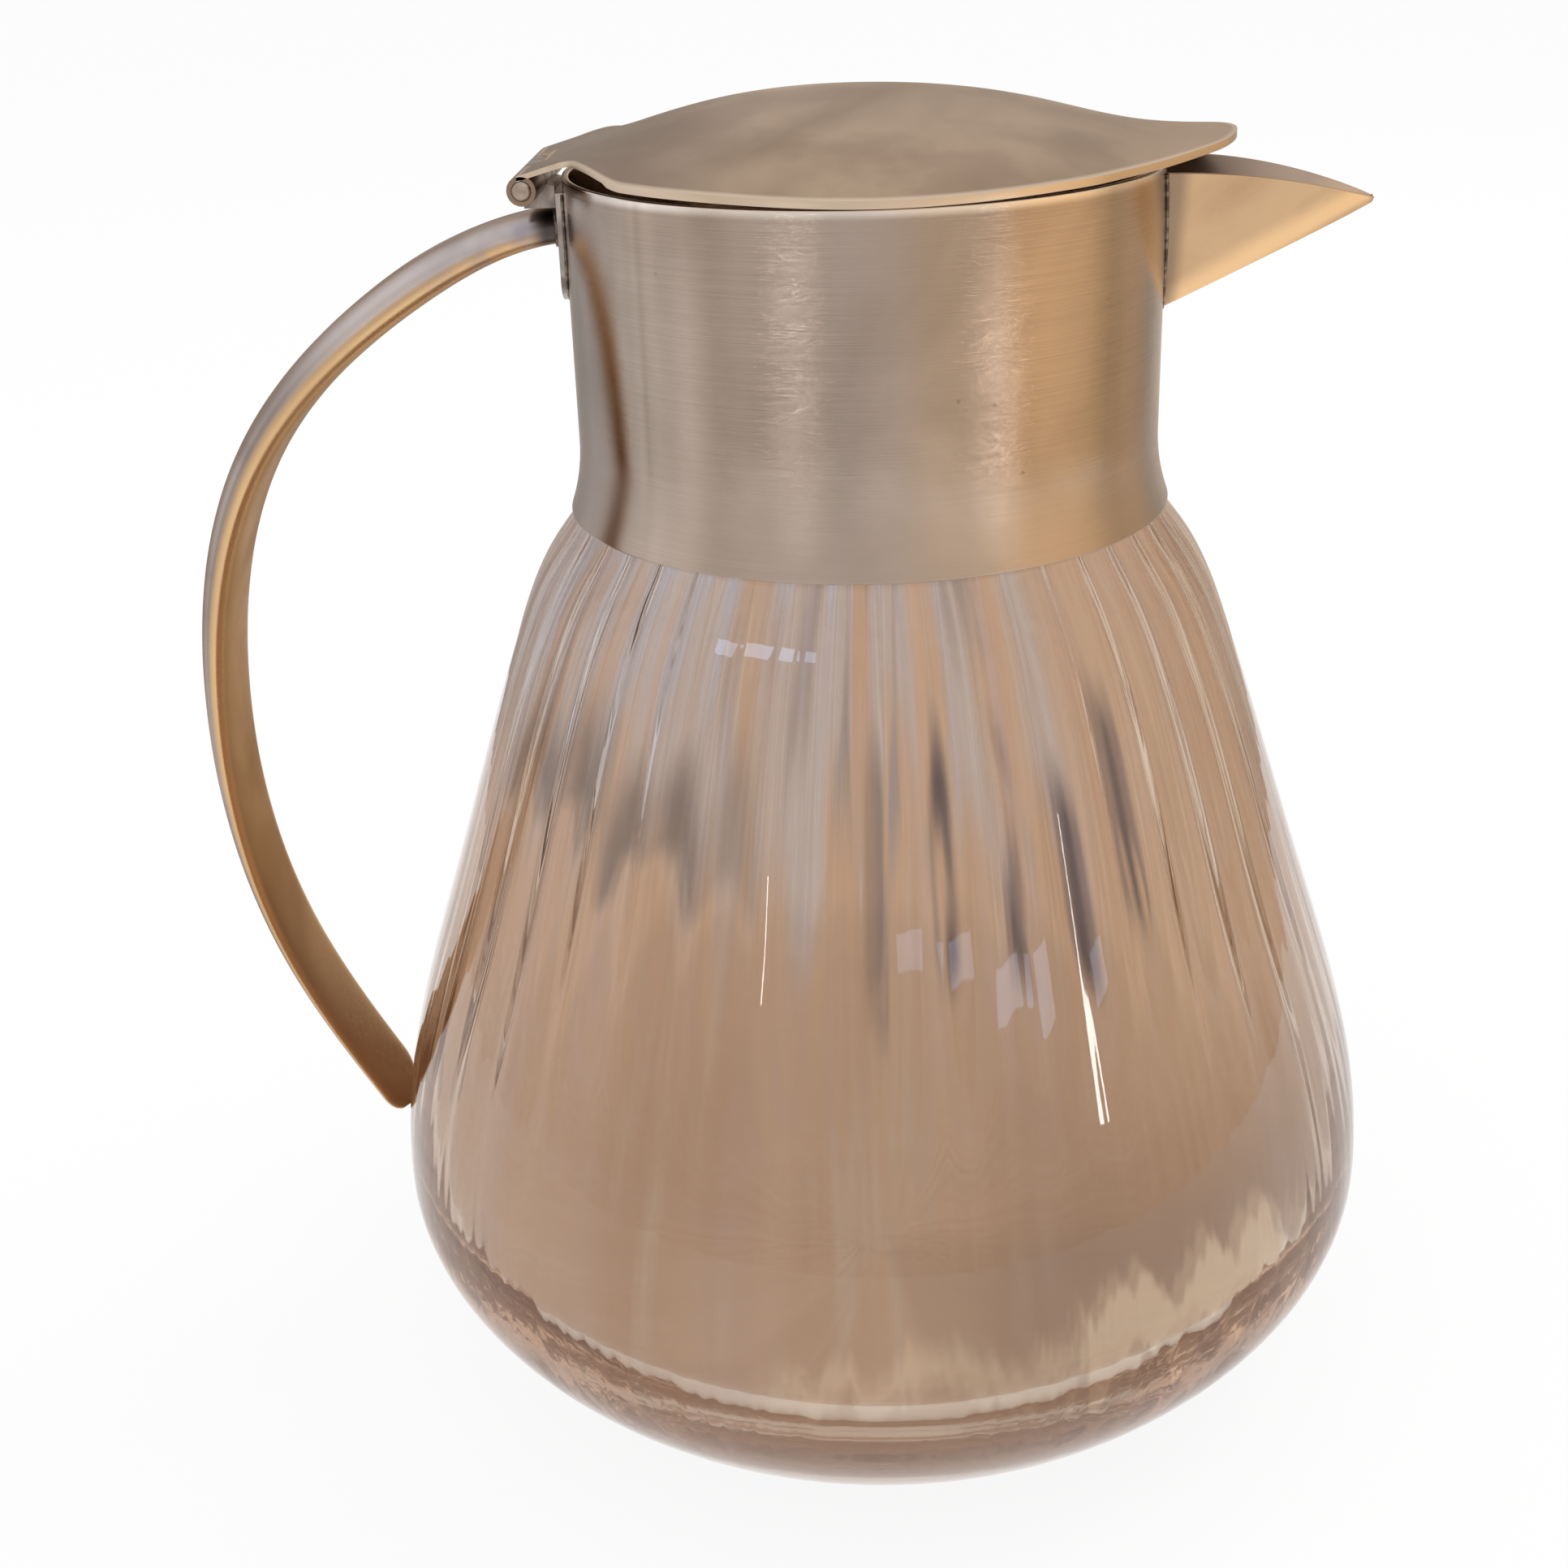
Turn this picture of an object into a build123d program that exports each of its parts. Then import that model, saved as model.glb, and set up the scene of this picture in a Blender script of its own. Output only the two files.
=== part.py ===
import os
from math import asin, atan2, cos, degrees, hypot, radians, sin, sqrt

from build123d import *

os.makedirs("parts", exist_ok=True)

# A glass carafe with a plated metal collar, spout, strap handle and hinged lid.
# Sizes are millimetres. The carafe stands on Z = 0 with its axis on the Z axis.
# The spout points along +X and the handle and hinge lie along -X.

# Metal collar
rim_height = 223.0
collar_radius = 50.0
collar_wall = 1.2
collar_length = 56.5
flare_height = 12.0
flare_width = 2.2
rim_rounding = 0.5
lip_rounding = 0.4

# Glass vessel, blown with a thick base
neck_drop = 27.0
neck_wall = 3.2
neck_rounding = 0.8
throat_widening = 6.2
throat_drop = 7.5
shoulder_widening = 13.2
shoulder_drop = 22.6
wall_radius = 79.0
wall_drop = 70.3
belly_radius = 92.2
belly_height = 39.5
heel_inset = 10.4
heel_height = 16.6
foot_radius = 52.0
glass_wall = 3.8
throat_wall = 4.6
belly_wall = 5.2
heel_wall = 6.2
floor_thickness = 8.0
floor_flat_inset = 4.0
floor_sag = 1.2

# Cement that beds the glass neck in the collar
cement_thickness = 1.5
cement_margin = 1.5

# Pouring spout, a folded trough of sheet metal
spout_projection = 34.5
spout_widest_offset = 6.0
spout_half_width = 12.7
spout_wall = 1.1
spout_edge_drop = 1.6
spout_edge_droop = 6.2
keel_drop = 29.0
keel_rise = 20.3
keel_radius = 2.6
spout_overlap = 6.0
spout_nose_angle = 83.0
spout_stations = 8

# Hinge at the back of the collar
pin_radius = 1.5
pin_offset = 4.6
pin_drop = 0.8
pin_proud = 0.3
pin_chamfer = 0.25
hinge_half_width = 18.0
center_knuckle_half_width = 6.0
bracket_drop = 5.3
bracket_overhang = 1.6

# Lid, one pressed sheet with a lifted tip and a tongue rolled round the pin
lid_sheet = 0.85
lid_overhang = 0.6
lid_tip_overhang = 11.2
lid_tip_radius = 21.0
lid_crown = 12.0
lid_front_height = 8.9
lid_front_inset = 21.3
lid_neck_height = 4.9
lid_neck_inset = 3.5
lid_tip_height = 4.1
lid_back_height = 10.2
lid_back_inset = 26.0
lid_root_height = 3.3
lid_root_inset = 1.0
lid_seat_gap = 0.4
lid_root_sag = 0.05
lid_sag_run = 12.0
lid_tip_sag = 6.0
lid_blank_margin = 3.0
lid_stations = 15
tongue_blend = 6.0

# Strap handle, forged, soldered to the shield at its root and free at its lower end
handle_root_drop = 8.7
handle_root_width = 15.5
handle_root_thickness = 5.6
handle_grip_width = 21.0
handle_shoulder_thickness = 7.1
handle_end_width = 19.5
handle_end_thickness = 1.6
handle_reach = 69.1
handle_reach_drop = 90.2
handle_bend_run = 29.8
handle_bend_fall = 12.3
handle_upper_setback = 12.2
handle_upper_rise = 43.6
handle_lower_setback = 7.0
handle_lower_fall = 52.8
handle_end_height = 43.0
handle_end_lean = 30.0
handle_root_slope = 0.11
handle_widening_share = 0.3
handle_swelling_share = 0.14
handle_narrowing_start = 0.6
handle_tip_start = 0.97
handle_tip_bluntness = 1.15
handle_stations = 9
handle_tip_stations = 3
handle_section_rounding = 0.42

# Shield plate between the handle root and the collar
shield_thickness = 1.2
shield_half_width = 8.8
shield_top_drop = 2.6
shield_side_length = 8.0
shield_point_drop = 21.5

# Clearances
solder_gap = 0.05
press_gap = 0.02
running_gap = 0.05
moving_gap = 0.3
lip_gap = 0.3
handle_glass_gap = 0.4

# Levels and radii that follow from the sizes above
collar_bottom = rim_height - collar_length
flare_top = collar_bottom + flare_height
neck_top = rim_height - neck_drop
collar_bore = collar_radius - collar_wall
neck_radius = collar_bore - cement_thickness
throat_radius = collar_radius + throat_widening
shoulder_radius = collar_radius + shoulder_widening
heel_radius = belly_radius - heel_inset
floor_flat_radius = foot_radius - floor_flat_inset
spout_reach = collar_radius + spout_projection
spout_widest = collar_radius + spout_widest_offset
spout_inner_start = collar_radius - spout_overlap
lid_radius = collar_radius + lid_overhang
lid_tip_reach = collar_radius + lid_tip_overhang
lid_front_x = collar_radius - lid_front_inset
lid_neck_x = collar_radius - lid_neck_inset
lid_back_x = -(collar_radius - lid_back_inset)
lid_root_x = -(collar_radius - lid_root_inset)
lid_cross_sag = lid_crown - lid_seat_gap - lid_sheet - lid_root_sag
pin_x = -(collar_radius + pin_offset)
knuckle_radius = pin_radius + running_gap + lid_sheet
pin_z = rim_height - pin_drop
shield_face = collar_radius + solder_gap + shield_thickness
handle_root_x = -(shield_face + solder_gap)


# Glass body: one blown wall, revolved, with the neck hidden inside the collar
with BuildPart() as glass_body:
    lip_radius = collar_bore + flare_width - lip_gap
    wall_height = collar_bottom - wall_drop
    shoulder_height = collar_bottom - shoulder_drop
    throat_height = collar_bottom - throat_drop
    bore_radius = neck_radius - neck_wall
    inner_belly_radius = belly_radius - belly_wall
    inner_belly_height = belly_height + belly_wall
    with BuildSketch(Plane.XZ):
        with BuildLine():
            Line((0, 0), (foot_radius, 0))
            Spline(
                (foot_radius, 0),
                (heel_radius, heel_height),
                (belly_radius, belly_height),
                tangents=((1, 0), (0, 1)),
            )
            Spline(
                (belly_radius, belly_height),
                (wall_radius, wall_height),
                (shoulder_radius, shoulder_height),
                (throat_radius, throat_height),
                (lip_radius, collar_bottom),
                (neck_radius, flare_top),
                tangents=((0, 1), (0, 1)),
            )
            Line((neck_radius, flare_top), (neck_radius, neck_top))
            Line((neck_radius, neck_top), (bore_radius, neck_top))
            Line((bore_radius, neck_top), (bore_radius, flare_top))
            Spline(
                (bore_radius, flare_top),
                (throat_radius - throat_wall, throat_height),
                (shoulder_radius - glass_wall, shoulder_height),
                (wall_radius - glass_wall, wall_height),
                (inner_belly_radius, inner_belly_height),
                tangents=((0, -1), (0, -1)),
            )
            Spline(
                (inner_belly_radius, inner_belly_height),
                (heel_radius - heel_wall, heel_height + heel_wall),
                (floor_flat_radius, floor_thickness + floor_sag),
                (0, floor_thickness),
                tangents=((0, -1), (-1, 0)),
            )
            Line((0, floor_thickness), (0, 0))
        make_face()
    revolve(axis=Axis.Z)
    fillet(glass_body.edges().filter_by(GeomType.CIRCLE).group_by(Axis.Z)[-1], neck_rounding)
glass_body.part.label = "glass_body"
export_step(glass_body.part, "parts/glass_body.step")


# Spout trough: half width, top edge and keel as smooth rules along X
def trough_half_width(x):
    return spout_half_width * sqrt(1 - ((x - spout_widest) / (spout_reach - spout_widest)) ** 2)


def trough_edge_height(x):
    along = (x - collar_radius) / (spout_reach - collar_radius)
    return rim_height - spout_edge_drop - spout_edge_droop * max(along, 0) ** 2


def trough_keel_height(x):
    along = (x - collar_radius) / (spout_reach - collar_radius)
    return rim_height - keel_drop + keel_rise * along


def trough_plane(x):
    return Plane(origin=(x, 0, 0), x_dir=(0, 1, 0), z_dir=(1, 0, 0))


# Stations crowd towards the rounded nose, where the half width runs out
trough_span = spout_reach - spout_widest
trough_first = degrees(asin((spout_inner_start - spout_widest) / trough_span))
trough_step = (spout_nose_angle - trough_first) / (spout_stations - 1)
trough_stations = [
    spout_widest + trough_span * sin(radians(trough_first + trough_step * count))
    for count in range(spout_stations)
]

with BuildPart() as trough_outside:
    for station in trough_stations:
        half_width = trough_half_width(station)
        with BuildSketch(trough_plane(station)) as trough_section:
            with BuildLine():
                Polyline(
                    (-half_width, trough_edge_height(station)),
                    (0, trough_keel_height(station)),
                    (half_width, trough_edge_height(station)),
                    close=True,
                )
            make_face()
            keel_rounding = keel_radius * half_width / spout_half_width
            fillet(trough_section.vertices().sort_by(Axis.Y)[0], keel_rounding)
    loft()

with BuildPart() as trough_inside:
    for station in trough_stations:
        depth = trough_edge_height(station) - trough_keel_height(station)
        slope = trough_half_width(station) / depth
        inner_keel = trough_keel_height(station) + spout_wall * hypot(1, slope) / slope
        cut_top = rim_height + spout_wall
        cut_half_width = slope * (cut_top - inner_keel)
        with BuildSketch(trough_plane(station)) as trough_section:
            with BuildLine():
                Polyline(
                    (-cut_half_width, cut_top),
                    (0, inner_keel),
                    (cut_half_width, cut_top),
                    close=True,
                )
            make_face()
            inner_rounding = (keel_radius - spout_wall) * trough_half_width(station) / spout_half_width
            fillet(trough_section.vertices().sort_by(Axis.Y)[0], inner_rounding)
    loft()

with BuildPart() as pouring_spout:
    add(trough_outside.part)
    add(trough_inside.part, mode=Mode.SUBTRACT)
    with BuildSketch(Plane.XY.offset(collar_bottom)):
        Circle(collar_radius + solder_gap)
    extrude(amount=collar_length * 2, mode=Mode.SUBTRACT)
pouring_spout.part.label = "pouring_spout"
export_step(pouring_spout.part, "parts/pouring_spout.step")


# Collar: spun tube, flared at its lower lip, notched where the trough runs out of it
with BuildPart() as neck_collar:
    with BuildSketch(Plane.XZ):
        with BuildLine():
            TangentArc(
                (collar_radius, flare_top),
                (collar_radius + flare_width, collar_bottom),
                tangent=(0, -1),
            )
            Line(
                (collar_radius + flare_width, collar_bottom),
                (collar_bore + flare_width, collar_bottom),
            )
            TangentArc(
                (collar_bore, flare_top),
                (collar_bore + flare_width, collar_bottom),
                tangent=(0, -1),
            )
            Line((collar_bore, flare_top), (collar_bore, rim_height))
            Line((collar_bore, rim_height), (collar_radius, rim_height))
            Line((collar_radius, rim_height), (collar_radius, flare_top))
        make_face()
    revolve(axis=Axis.Z)
    fillet(neck_collar.edges().filter_by(GeomType.CIRCLE).group_by(Axis.Z)[-1], rim_rounding)
    fillet(neck_collar.edges().filter_by(GeomType.CIRCLE).group_by(Axis.Z)[0], lip_rounding)
    add(trough_inside.part, mode=Mode.SUBTRACT)
neck_collar.part.label = "neck_collar"
export_step(neck_collar.part, "parts/neck_collar.step")


# Cement ring between the glass neck and the collar
with BuildPart() as cement_bed:
    with BuildSketch(Plane.XY.offset(flare_top + cement_margin)):
        Circle(collar_bore - solder_gap)
        Circle(neck_radius + solder_gap, mode=Mode.SUBTRACT)
    extrude(amount=neck_top - flare_top - 2 * cement_margin)
cement_bed.part.label = "cement_bed"
export_step(cement_bed.part, "parts/cement_bed.step")


# Shield: a plate bent round the collar, square above and pointed below
with BuildPart() as handle_shield:
    shield_top = rim_height - shield_top_drop
    shield_point = rim_height - shield_point_drop
    with BuildSketch(Plane.XY.offset(shield_point)):
        Circle(shield_face)
        Circle(collar_radius + solder_gap, mode=Mode.SUBTRACT)
    extrude(amount=shield_top - shield_point)
    with BuildSketch(Plane(origin=(0, 0, 0), x_dir=(0, 1, 0), z_dir=(1, 0, 0))):
        with BuildLine():
            Line((shield_half_width, shield_top - shield_side_length), (shield_half_width, shield_top))
            Line((shield_half_width, shield_top), (-shield_half_width, shield_top))
            Line((-shield_half_width, shield_top), (-shield_half_width, shield_top - shield_side_length))
            TangentArc(
                (-shield_half_width, shield_top - shield_side_length),
                (0, shield_point),
                tangent=(0, -1),
            )
            TangentArc(
                (shield_half_width, shield_top - shield_side_length),
                (0, shield_point),
                tangent=(0, -1),
            )
        make_face()
    extrude(amount=-2 * collar_radius, mode=Mode.INTERSECT)
handle_shield.part.label = "handle_shield"
export_step(handle_shield.part, "parts/handle_shield.step")


# Handle: a loft of rounded strap sections along one smooth centre line
handle_end_x = -(belly_radius + handle_glass_gap + handle_end_thickness / 2)
handle_root_z = rim_height - handle_root_drop
handle_out_x = -(collar_radius + handle_reach)
handle_out_z = rim_height - handle_reach_drop
with BuildLine() as handle_path:
    Spline(
        (handle_root_x, 0, handle_root_z),
        (handle_root_x - handle_bend_run, 0, handle_root_z - handle_bend_fall),
        (handle_out_x + handle_upper_setback, 0, handle_out_z + handle_upper_rise),
        (handle_out_x, 0, handle_out_z),
        (handle_out_x + handle_lower_setback, 0, handle_out_z - handle_lower_fall),
        (handle_end_x, 0, handle_end_height),
        tangents=(
            (-1, 0, -handle_root_slope),
            (sin(radians(handle_end_lean)), 0, -cos(radians(handle_end_lean))),
        ),
    )


# A share that leaves 0 and reaches 1 smoothly
def eased(share):
    share = min(max(share, 0), 1)
    return share * share * (3 - 2 * share)


# The strap widens below its root, thins all the way down and ends in a rounded tip
def strap_width(place):
    widening = eased(place / handle_widening_share)
    widened = handle_root_width + (handle_grip_width - handle_root_width) * widening
    narrowing = eased((place - handle_narrowing_start) / (1 - handle_narrowing_start))
    tip = max(place - handle_tip_start, 0) / (1 - handle_tip_start) / handle_tip_bluntness
    return (widened - (handle_grip_width - handle_end_width) * narrowing) * sqrt(1 - tip**2)


def strap_thickness(place):
    swelling = eased(place / handle_swelling_share)
    thinning = eased((place - handle_swelling_share) / (1 - handle_swelling_share))
    swollen = handle_root_thickness + (handle_shoulder_thickness - handle_root_thickness) * swelling
    return swollen - (handle_shoulder_thickness - handle_end_thickness) * thinning


handle_places = [handle_tip_start * count / (handle_stations - 1) for count in range(handle_stations)]
for count in range(handle_tip_stations):
    handle_places.append(1 - (1 - handle_tip_start) * (1 - (count + 1) / handle_tip_stations) ** 2)

with BuildPart() as handle:
    for place in handle_places:
        point = handle_path.line @ place
        along = handle_path.line % place
        thickness = strap_thickness(place)
        with BuildSketch(Plane(origin=point, x_dir=(0, 1, 0), z_dir=along)):
            RectangleRounded(strap_width(place), thickness, thickness * handle_section_rounding)
    loft()
    with BuildSketch(Plane.XY.offset(rim_height)):
        Circle(-handle_root_x)
    extrude(amount=-collar_length, mode=Mode.SUBTRACT)
handle.part.label = "handle"
export_step(handle.part, "parts/handle.step")


# Hinge bracket: the centre knuckle on a small block soldered to the shield
with BuildPart() as hinge_bracket:
    with BuildSketch(Plane.XZ):
        with Locations((pin_x, pin_z)):
            Circle(knuckle_radius)
        with BuildLine():
            Polyline(
                (pin_x, pin_z),
                (pin_x - bracket_overhang, rim_height - bracket_drop),
                (handle_root_x + shield_thickness, rim_height - bracket_drop),
                (handle_root_x + shield_thickness, pin_z - knuckle_radius / 2),
                close=True,
            )
        make_face()
        with Locations((pin_x, pin_z)):
            Circle(pin_radius + press_gap, mode=Mode.SUBTRACT)
    extrude(amount=center_knuckle_half_width, both=True)
    with BuildSketch(Plane.XY.offset(rim_height)):
        Circle(shield_face + solder_gap)
    extrude(amount=-collar_length, mode=Mode.SUBTRACT)
hinge_bracket.part.label = "hinge_bracket"
export_step(hinge_bracket.part, "parts/hinge_bracket.step")


# Hinge pin, riveted over at both ends
with BuildPart() as hinge_pin:
    with BuildSketch(Plane.XZ):
        with Locations((pin_x, pin_z)):
            Circle(pin_radius)
    extrude(amount=hinge_half_width + pin_proud, both=True)
    chamfer(hinge_pin.edges().filter_by(GeomType.CIRCLE), pin_chamfer)
hinge_pin.part.label = "hinge_pin"
export_step(hinge_pin.part, "parts/hinge_pin.step")


# Lid: crosswise arcs lofted along a crown line, trimmed to the leaf outline
with BuildLine() as crown_line:
    Spline(
        (lid_root_x, 0, rim_height + lid_root_height),
        (lid_back_x, 0, rim_height + lid_back_height),
        (0, 0, rim_height + lid_crown),
        (lid_front_x, 0, rim_height + lid_front_height),
        (lid_neck_x, 0, rim_height + lid_neck_height),
        (lid_tip_reach + lid_sheet, 0, rim_height + lid_tip_height),
    )

# The rolled knuckles are tangent to the tongue's straight run
tongue_rise = rim_height + lid_root_height - pin_z
tongue_run = lid_root_x - pin_x
tongue_angle = atan2(tongue_rise, tongue_run) - asin(knuckle_radius / hypot(tongue_rise, tongue_run))
tongue_end_x = pin_x - knuckle_radius * sin(tongue_angle)
tongue_end_z = pin_z + knuckle_radius * cos(tongue_angle)
tongue_inner_x = pin_x - (knuckle_radius - lid_sheet) * sin(tongue_angle)
tongue_inner_z = pin_z + (knuckle_radius - lid_sheet) * cos(tongue_angle)


def cross_sag(x):
    ramp = eased((x - lid_root_x) / lid_sag_run)
    tip_share = max((x - lid_front_x) / (lid_tip_reach - lid_front_x), 0)
    return lid_cross_sag * ramp + lid_tip_sag * tip_share**2 + lid_root_sag


# The sheet is pressed wider than the lid, so its edge lies further down the same arc
blank_half_width = lid_radius + lid_blank_margin


def blank_drop(x):
    bend_radius = (lid_radius**2 + cross_sag(x) ** 2) / (2 * cross_sag(x))
    return bend_radius - sqrt(bend_radius**2 - blank_half_width**2)


# Plan outline: a disc drawn out to the lifted tip, blended into the tongue at the back
with BuildSketch() as lid_outline:
    Circle(lid_radius)
    with Locations((lid_tip_reach - lid_tip_radius, 0)):
        Circle(lid_tip_radius)
    make_hull()
    with Locations((pin_x / 2, 0)):
        Rectangle(-pin_x, 2 * hinge_half_width)
    fillet(lid_outline.vertices().group_by(Axis.X)[1], tongue_blend)

with BuildPart() as lid:
    for station in range(lid_stations):
        spot = crown_line.line @ (station / (lid_stations - 1))
        edge = spot.Z - blank_drop(spot.X)
        with BuildSketch(Plane(origin=(spot.X, 0, 0), x_dir=(0, 1, 0), z_dir=(1, 0, 0))):
            with BuildLine():
                ThreePointArc((-blank_half_width, edge), (0, spot.Z), (blank_half_width, edge))
                Line((blank_half_width, edge), (blank_half_width, edge - lid_sheet))
                ThreePointArc(
                    (blank_half_width, edge - lid_sheet),
                    (0, spot.Z - lid_sheet),
                    (-blank_half_width, edge - lid_sheet),
                )
                Line((-blank_half_width, edge - lid_sheet), (-blank_half_width, edge))
            make_face()
    loft()
    with BuildSketch(Plane.XZ):
        with BuildLine():
            Polyline(
                (lid_root_x, rim_height + lid_root_height),
                (tongue_end_x, tongue_end_z),
                (tongue_inner_x, tongue_inner_z),
                (lid_root_x, rim_height + lid_root_height - lid_sheet),
                close=True,
            )
        make_face()
    extrude(amount=hinge_half_width + tongue_blend, both=True)
    with BuildSketch(Plane.XY.offset(rim_height - lid_crown)):
        add(lid_outline.sketch)
    extrude(amount=3 * lid_crown, mode=Mode.INTERSECT)
    with BuildSketch(Plane.XZ):
        with Locations((pin_x, pin_z)):
            Circle(knuckle_radius)
    extrude(amount=hinge_half_width, both=True)
    with BuildSketch(Plane.XZ):
        with Locations((pin_x, pin_z)):
            Circle(pin_radius + running_gap)
    extrude(amount=hinge_half_width, both=True, mode=Mode.SUBTRACT)
    with BuildSketch(Plane.XZ):
        with Locations((pin_x, pin_z)):
            Circle(knuckle_radius + moving_gap)
    extrude(amount=center_knuckle_half_width + moving_gap, both=True, mode=Mode.SUBTRACT)
lid.part.label = "lid"
export_step(lid.part, "parts/lid.step")
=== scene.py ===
from math import atan2, cos, pi, radians, sin, sqrt
from types import SimpleNamespace

import bmesh
import bpy
import numpy as np
from mathutils import Matrix, Vector


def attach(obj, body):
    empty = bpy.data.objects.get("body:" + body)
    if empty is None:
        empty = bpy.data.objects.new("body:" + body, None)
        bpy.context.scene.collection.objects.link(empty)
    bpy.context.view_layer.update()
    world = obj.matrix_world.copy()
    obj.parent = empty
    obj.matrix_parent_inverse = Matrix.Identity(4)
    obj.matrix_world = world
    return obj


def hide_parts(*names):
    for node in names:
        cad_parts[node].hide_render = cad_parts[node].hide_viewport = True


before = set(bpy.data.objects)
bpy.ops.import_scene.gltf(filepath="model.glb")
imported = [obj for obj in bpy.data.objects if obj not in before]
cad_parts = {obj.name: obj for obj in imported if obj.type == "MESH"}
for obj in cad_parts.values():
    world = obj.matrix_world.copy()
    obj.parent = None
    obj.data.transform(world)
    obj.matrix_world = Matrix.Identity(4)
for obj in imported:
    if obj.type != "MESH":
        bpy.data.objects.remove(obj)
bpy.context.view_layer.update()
scene = bpy.context.scene

# The camera stands in front of the carafe, a little above its lid and very near,
# with the spout to its right and the handle to its left, as the photograph was taken.
photo_width = 1932.0
focal_length = 2660.0
camera_data = bpy.data.cameras.new("camera")
camera_data.sensor_width = 36.0
camera_data.lens = 36.0 * focal_length / photo_width
camera_data.clip_start = 0.01
camera = bpy.data.objects.new("camera", camera_data)
scene.collection.objects.link(camera)
scene.camera = camera
eye = Vector((0.0, -0.3699, 0.2728))
yaw, pitch, roll = radians(-2.57), radians(23.69), radians(-1.93)
ahead = Vector((sin(yaw) * cos(pitch), cos(yaw) * cos(pitch), -sin(pitch)))
level = Vector((cos(yaw), -sin(yaw), 0.0))
upright = level.cross(ahead)
right = level * cos(roll) + upright * sin(roll)
top = upright * cos(roll) - level * sin(roll)
camera.matrix_world = Matrix.Translation(eye) @ Matrix((right, top, -ahead)).transposed().to_4x4()

# The studio: a wide pale floor, white air, large soft lamps and a round light tent.
# Only gloss sees the tent, whose soft grey and warm curtains show in the polished metal.
scene.view_settings.view_transform = "Standard"
bounces = 12
scene.cycles.max_bounces = bounces
scene.cycles.glossy_bounces = bounces
scene.cycles.transmission_bounces = bounces


def feed(node, links):
    """Feeds a node's sockets with other sockets, values or colours of three parts."""
    for socket, source in links:
        if hasattr(source, "is_output"):
            node.id_data.links.new(source, node.inputs[socket])
        elif node.inputs[socket].type == "RGBA":
            node.inputs[socket].default_value = (*source, 1.0)
        else:
            node.inputs[socket].default_value = source
    return node


def step(tree, kind, links=(), **settings):
    """One new node of a tree, with its settings and the sockets or values that feed it."""
    node = tree.nodes.new(kind)
    for key, value in settings.items():
        setattr(node, key, value)
    return feed(node, links)


def tree_of(*terms):
    """The tree that the first socket among the terms belongs to."""
    return next(term for term in terms if hasattr(term, "is_output")).id_data


def maths(kind, *terms):
    """One step of arithmetic with sockets and numbers."""
    return step(tree_of(*terms), "ShaderNodeMath", enumerate(terms), operation=kind).outputs[0]


def times(*masks):
    """The product of masks and numbers."""
    product = masks[0]
    for mask in masks[1:]:
        product = maths("MULTIPLY", product, mask)
    return product


def ranged(value, low, high, bottom=0.0, top=1.0, **settings):
    """The value's place from low to high, given as a number from bottom to top."""
    ends = [("Value", value), ("From Min", low), ("From Max", high), ("To Min", bottom), ("To Max", top)]
    return step(value.id_data, "ShaderNodeMapRange", ends, **settings).outputs[0]


def between(value, low, high):
    """A mask that goes softly from 0 where the value is low to 1 where it is high."""
    return ranged(value, low, high, interpolation_type="SMOOTHSTEP")


def seen_plainly(tree):
    """1 for rays of the camera, of gloss and through glass, 0 for the light that fills shadows."""
    ray = step(tree, "ShaderNodeLightPath").outputs
    through = maths("MAXIMUM", ray["Is Glossy Ray"], ray["Is Transmission Ray"])
    return maths("MAXIMUM", ray["Is Camera Ray"], through)


def cleared(owner):
    """The emptied node tree of a world or a material."""
    owner.use_nodes = True
    owner.node_tree.nodes.clear()
    return owner.node_tree


white = (1.0, 1.0, 1.0)
scene.world = bpy.data.worlds.new("studio_air")
tree = cleared(scene.world)
air_level = ranged(seen_plainly(tree), 0.0, 1.0, 0.82, 1.0)
air_light = step(tree, "ShaderNodeBackground", [("Color", white), ("Strength", air_level)])
step(tree, "ShaderNodeOutputWorld", [("Surface", air_light.outputs[0])])


def soft_lamp(name, place, size, power, colour, glint=False):
    """A soft lamp aimed at the jug; a glint is seen in gloss alone and fills no shadow."""
    data = bpy.data.lights.new(name, "AREA")
    data.shape = "RECTANGLE"
    data.size, data.size_y = size
    data.energy = power
    data.color = colour
    lamp = bpy.data.objects.new(name, data)
    lamp.location = place
    jug_middle = Vector((0, 0, 0.13))
    lamp.rotation_euler = (jug_middle - Vector(place)).to_track_quat("-Z", "Y").to_euler()
    lamp.visible_camera = False
    lamp.visible_transmission = False
    lamp.visible_diffuse = not glint
    lamp.visible_glossy = glint
    scene.collection.objects.link(lamp)
    return lamp


def glint_lamp(name, turn, height, size, power, colour):
    """A small lamp that only gloss sees, turned round the jug from its front by some degrees."""
    ring_radius = 0.4
    place = (ring_radius * sin(radians(turn)), -ring_radius * cos(radians(turn)), height)
    return soft_lamp(name, place, size, power, colour, glint=True)


soft_lamp("key_lamp", (0.75, 0.45, 1.35), (1.3, 1.3), 9.0, (1.0, 0.98, 0.95))
soft_lamp("fill_lamp", (-1.0, -1.2, 0.9), (1.4, 1.4), 5.0, (0.97, 0.98, 1.0))
slit_light = (1.0, 0.97, 0.94)
glint_lamp("left_slit", -26, 0.155, (0.003, 0.04), 0.01, slit_light)
glint_lamp("right_slit", 47, 0.13, (0.003, 0.1), 0.022, slit_light)


def plain_piece(name, points, edges=(), faces=()):
    """A new piece of points, edges and faces, linked into the scene."""
    mesh = bpy.data.meshes.new(name)
    mesh.from_pydata(points, edges, faces)
    piece = bpy.data.objects.new(name, mesh)
    scene.collection.objects.link(piece)
    return piece


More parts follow.
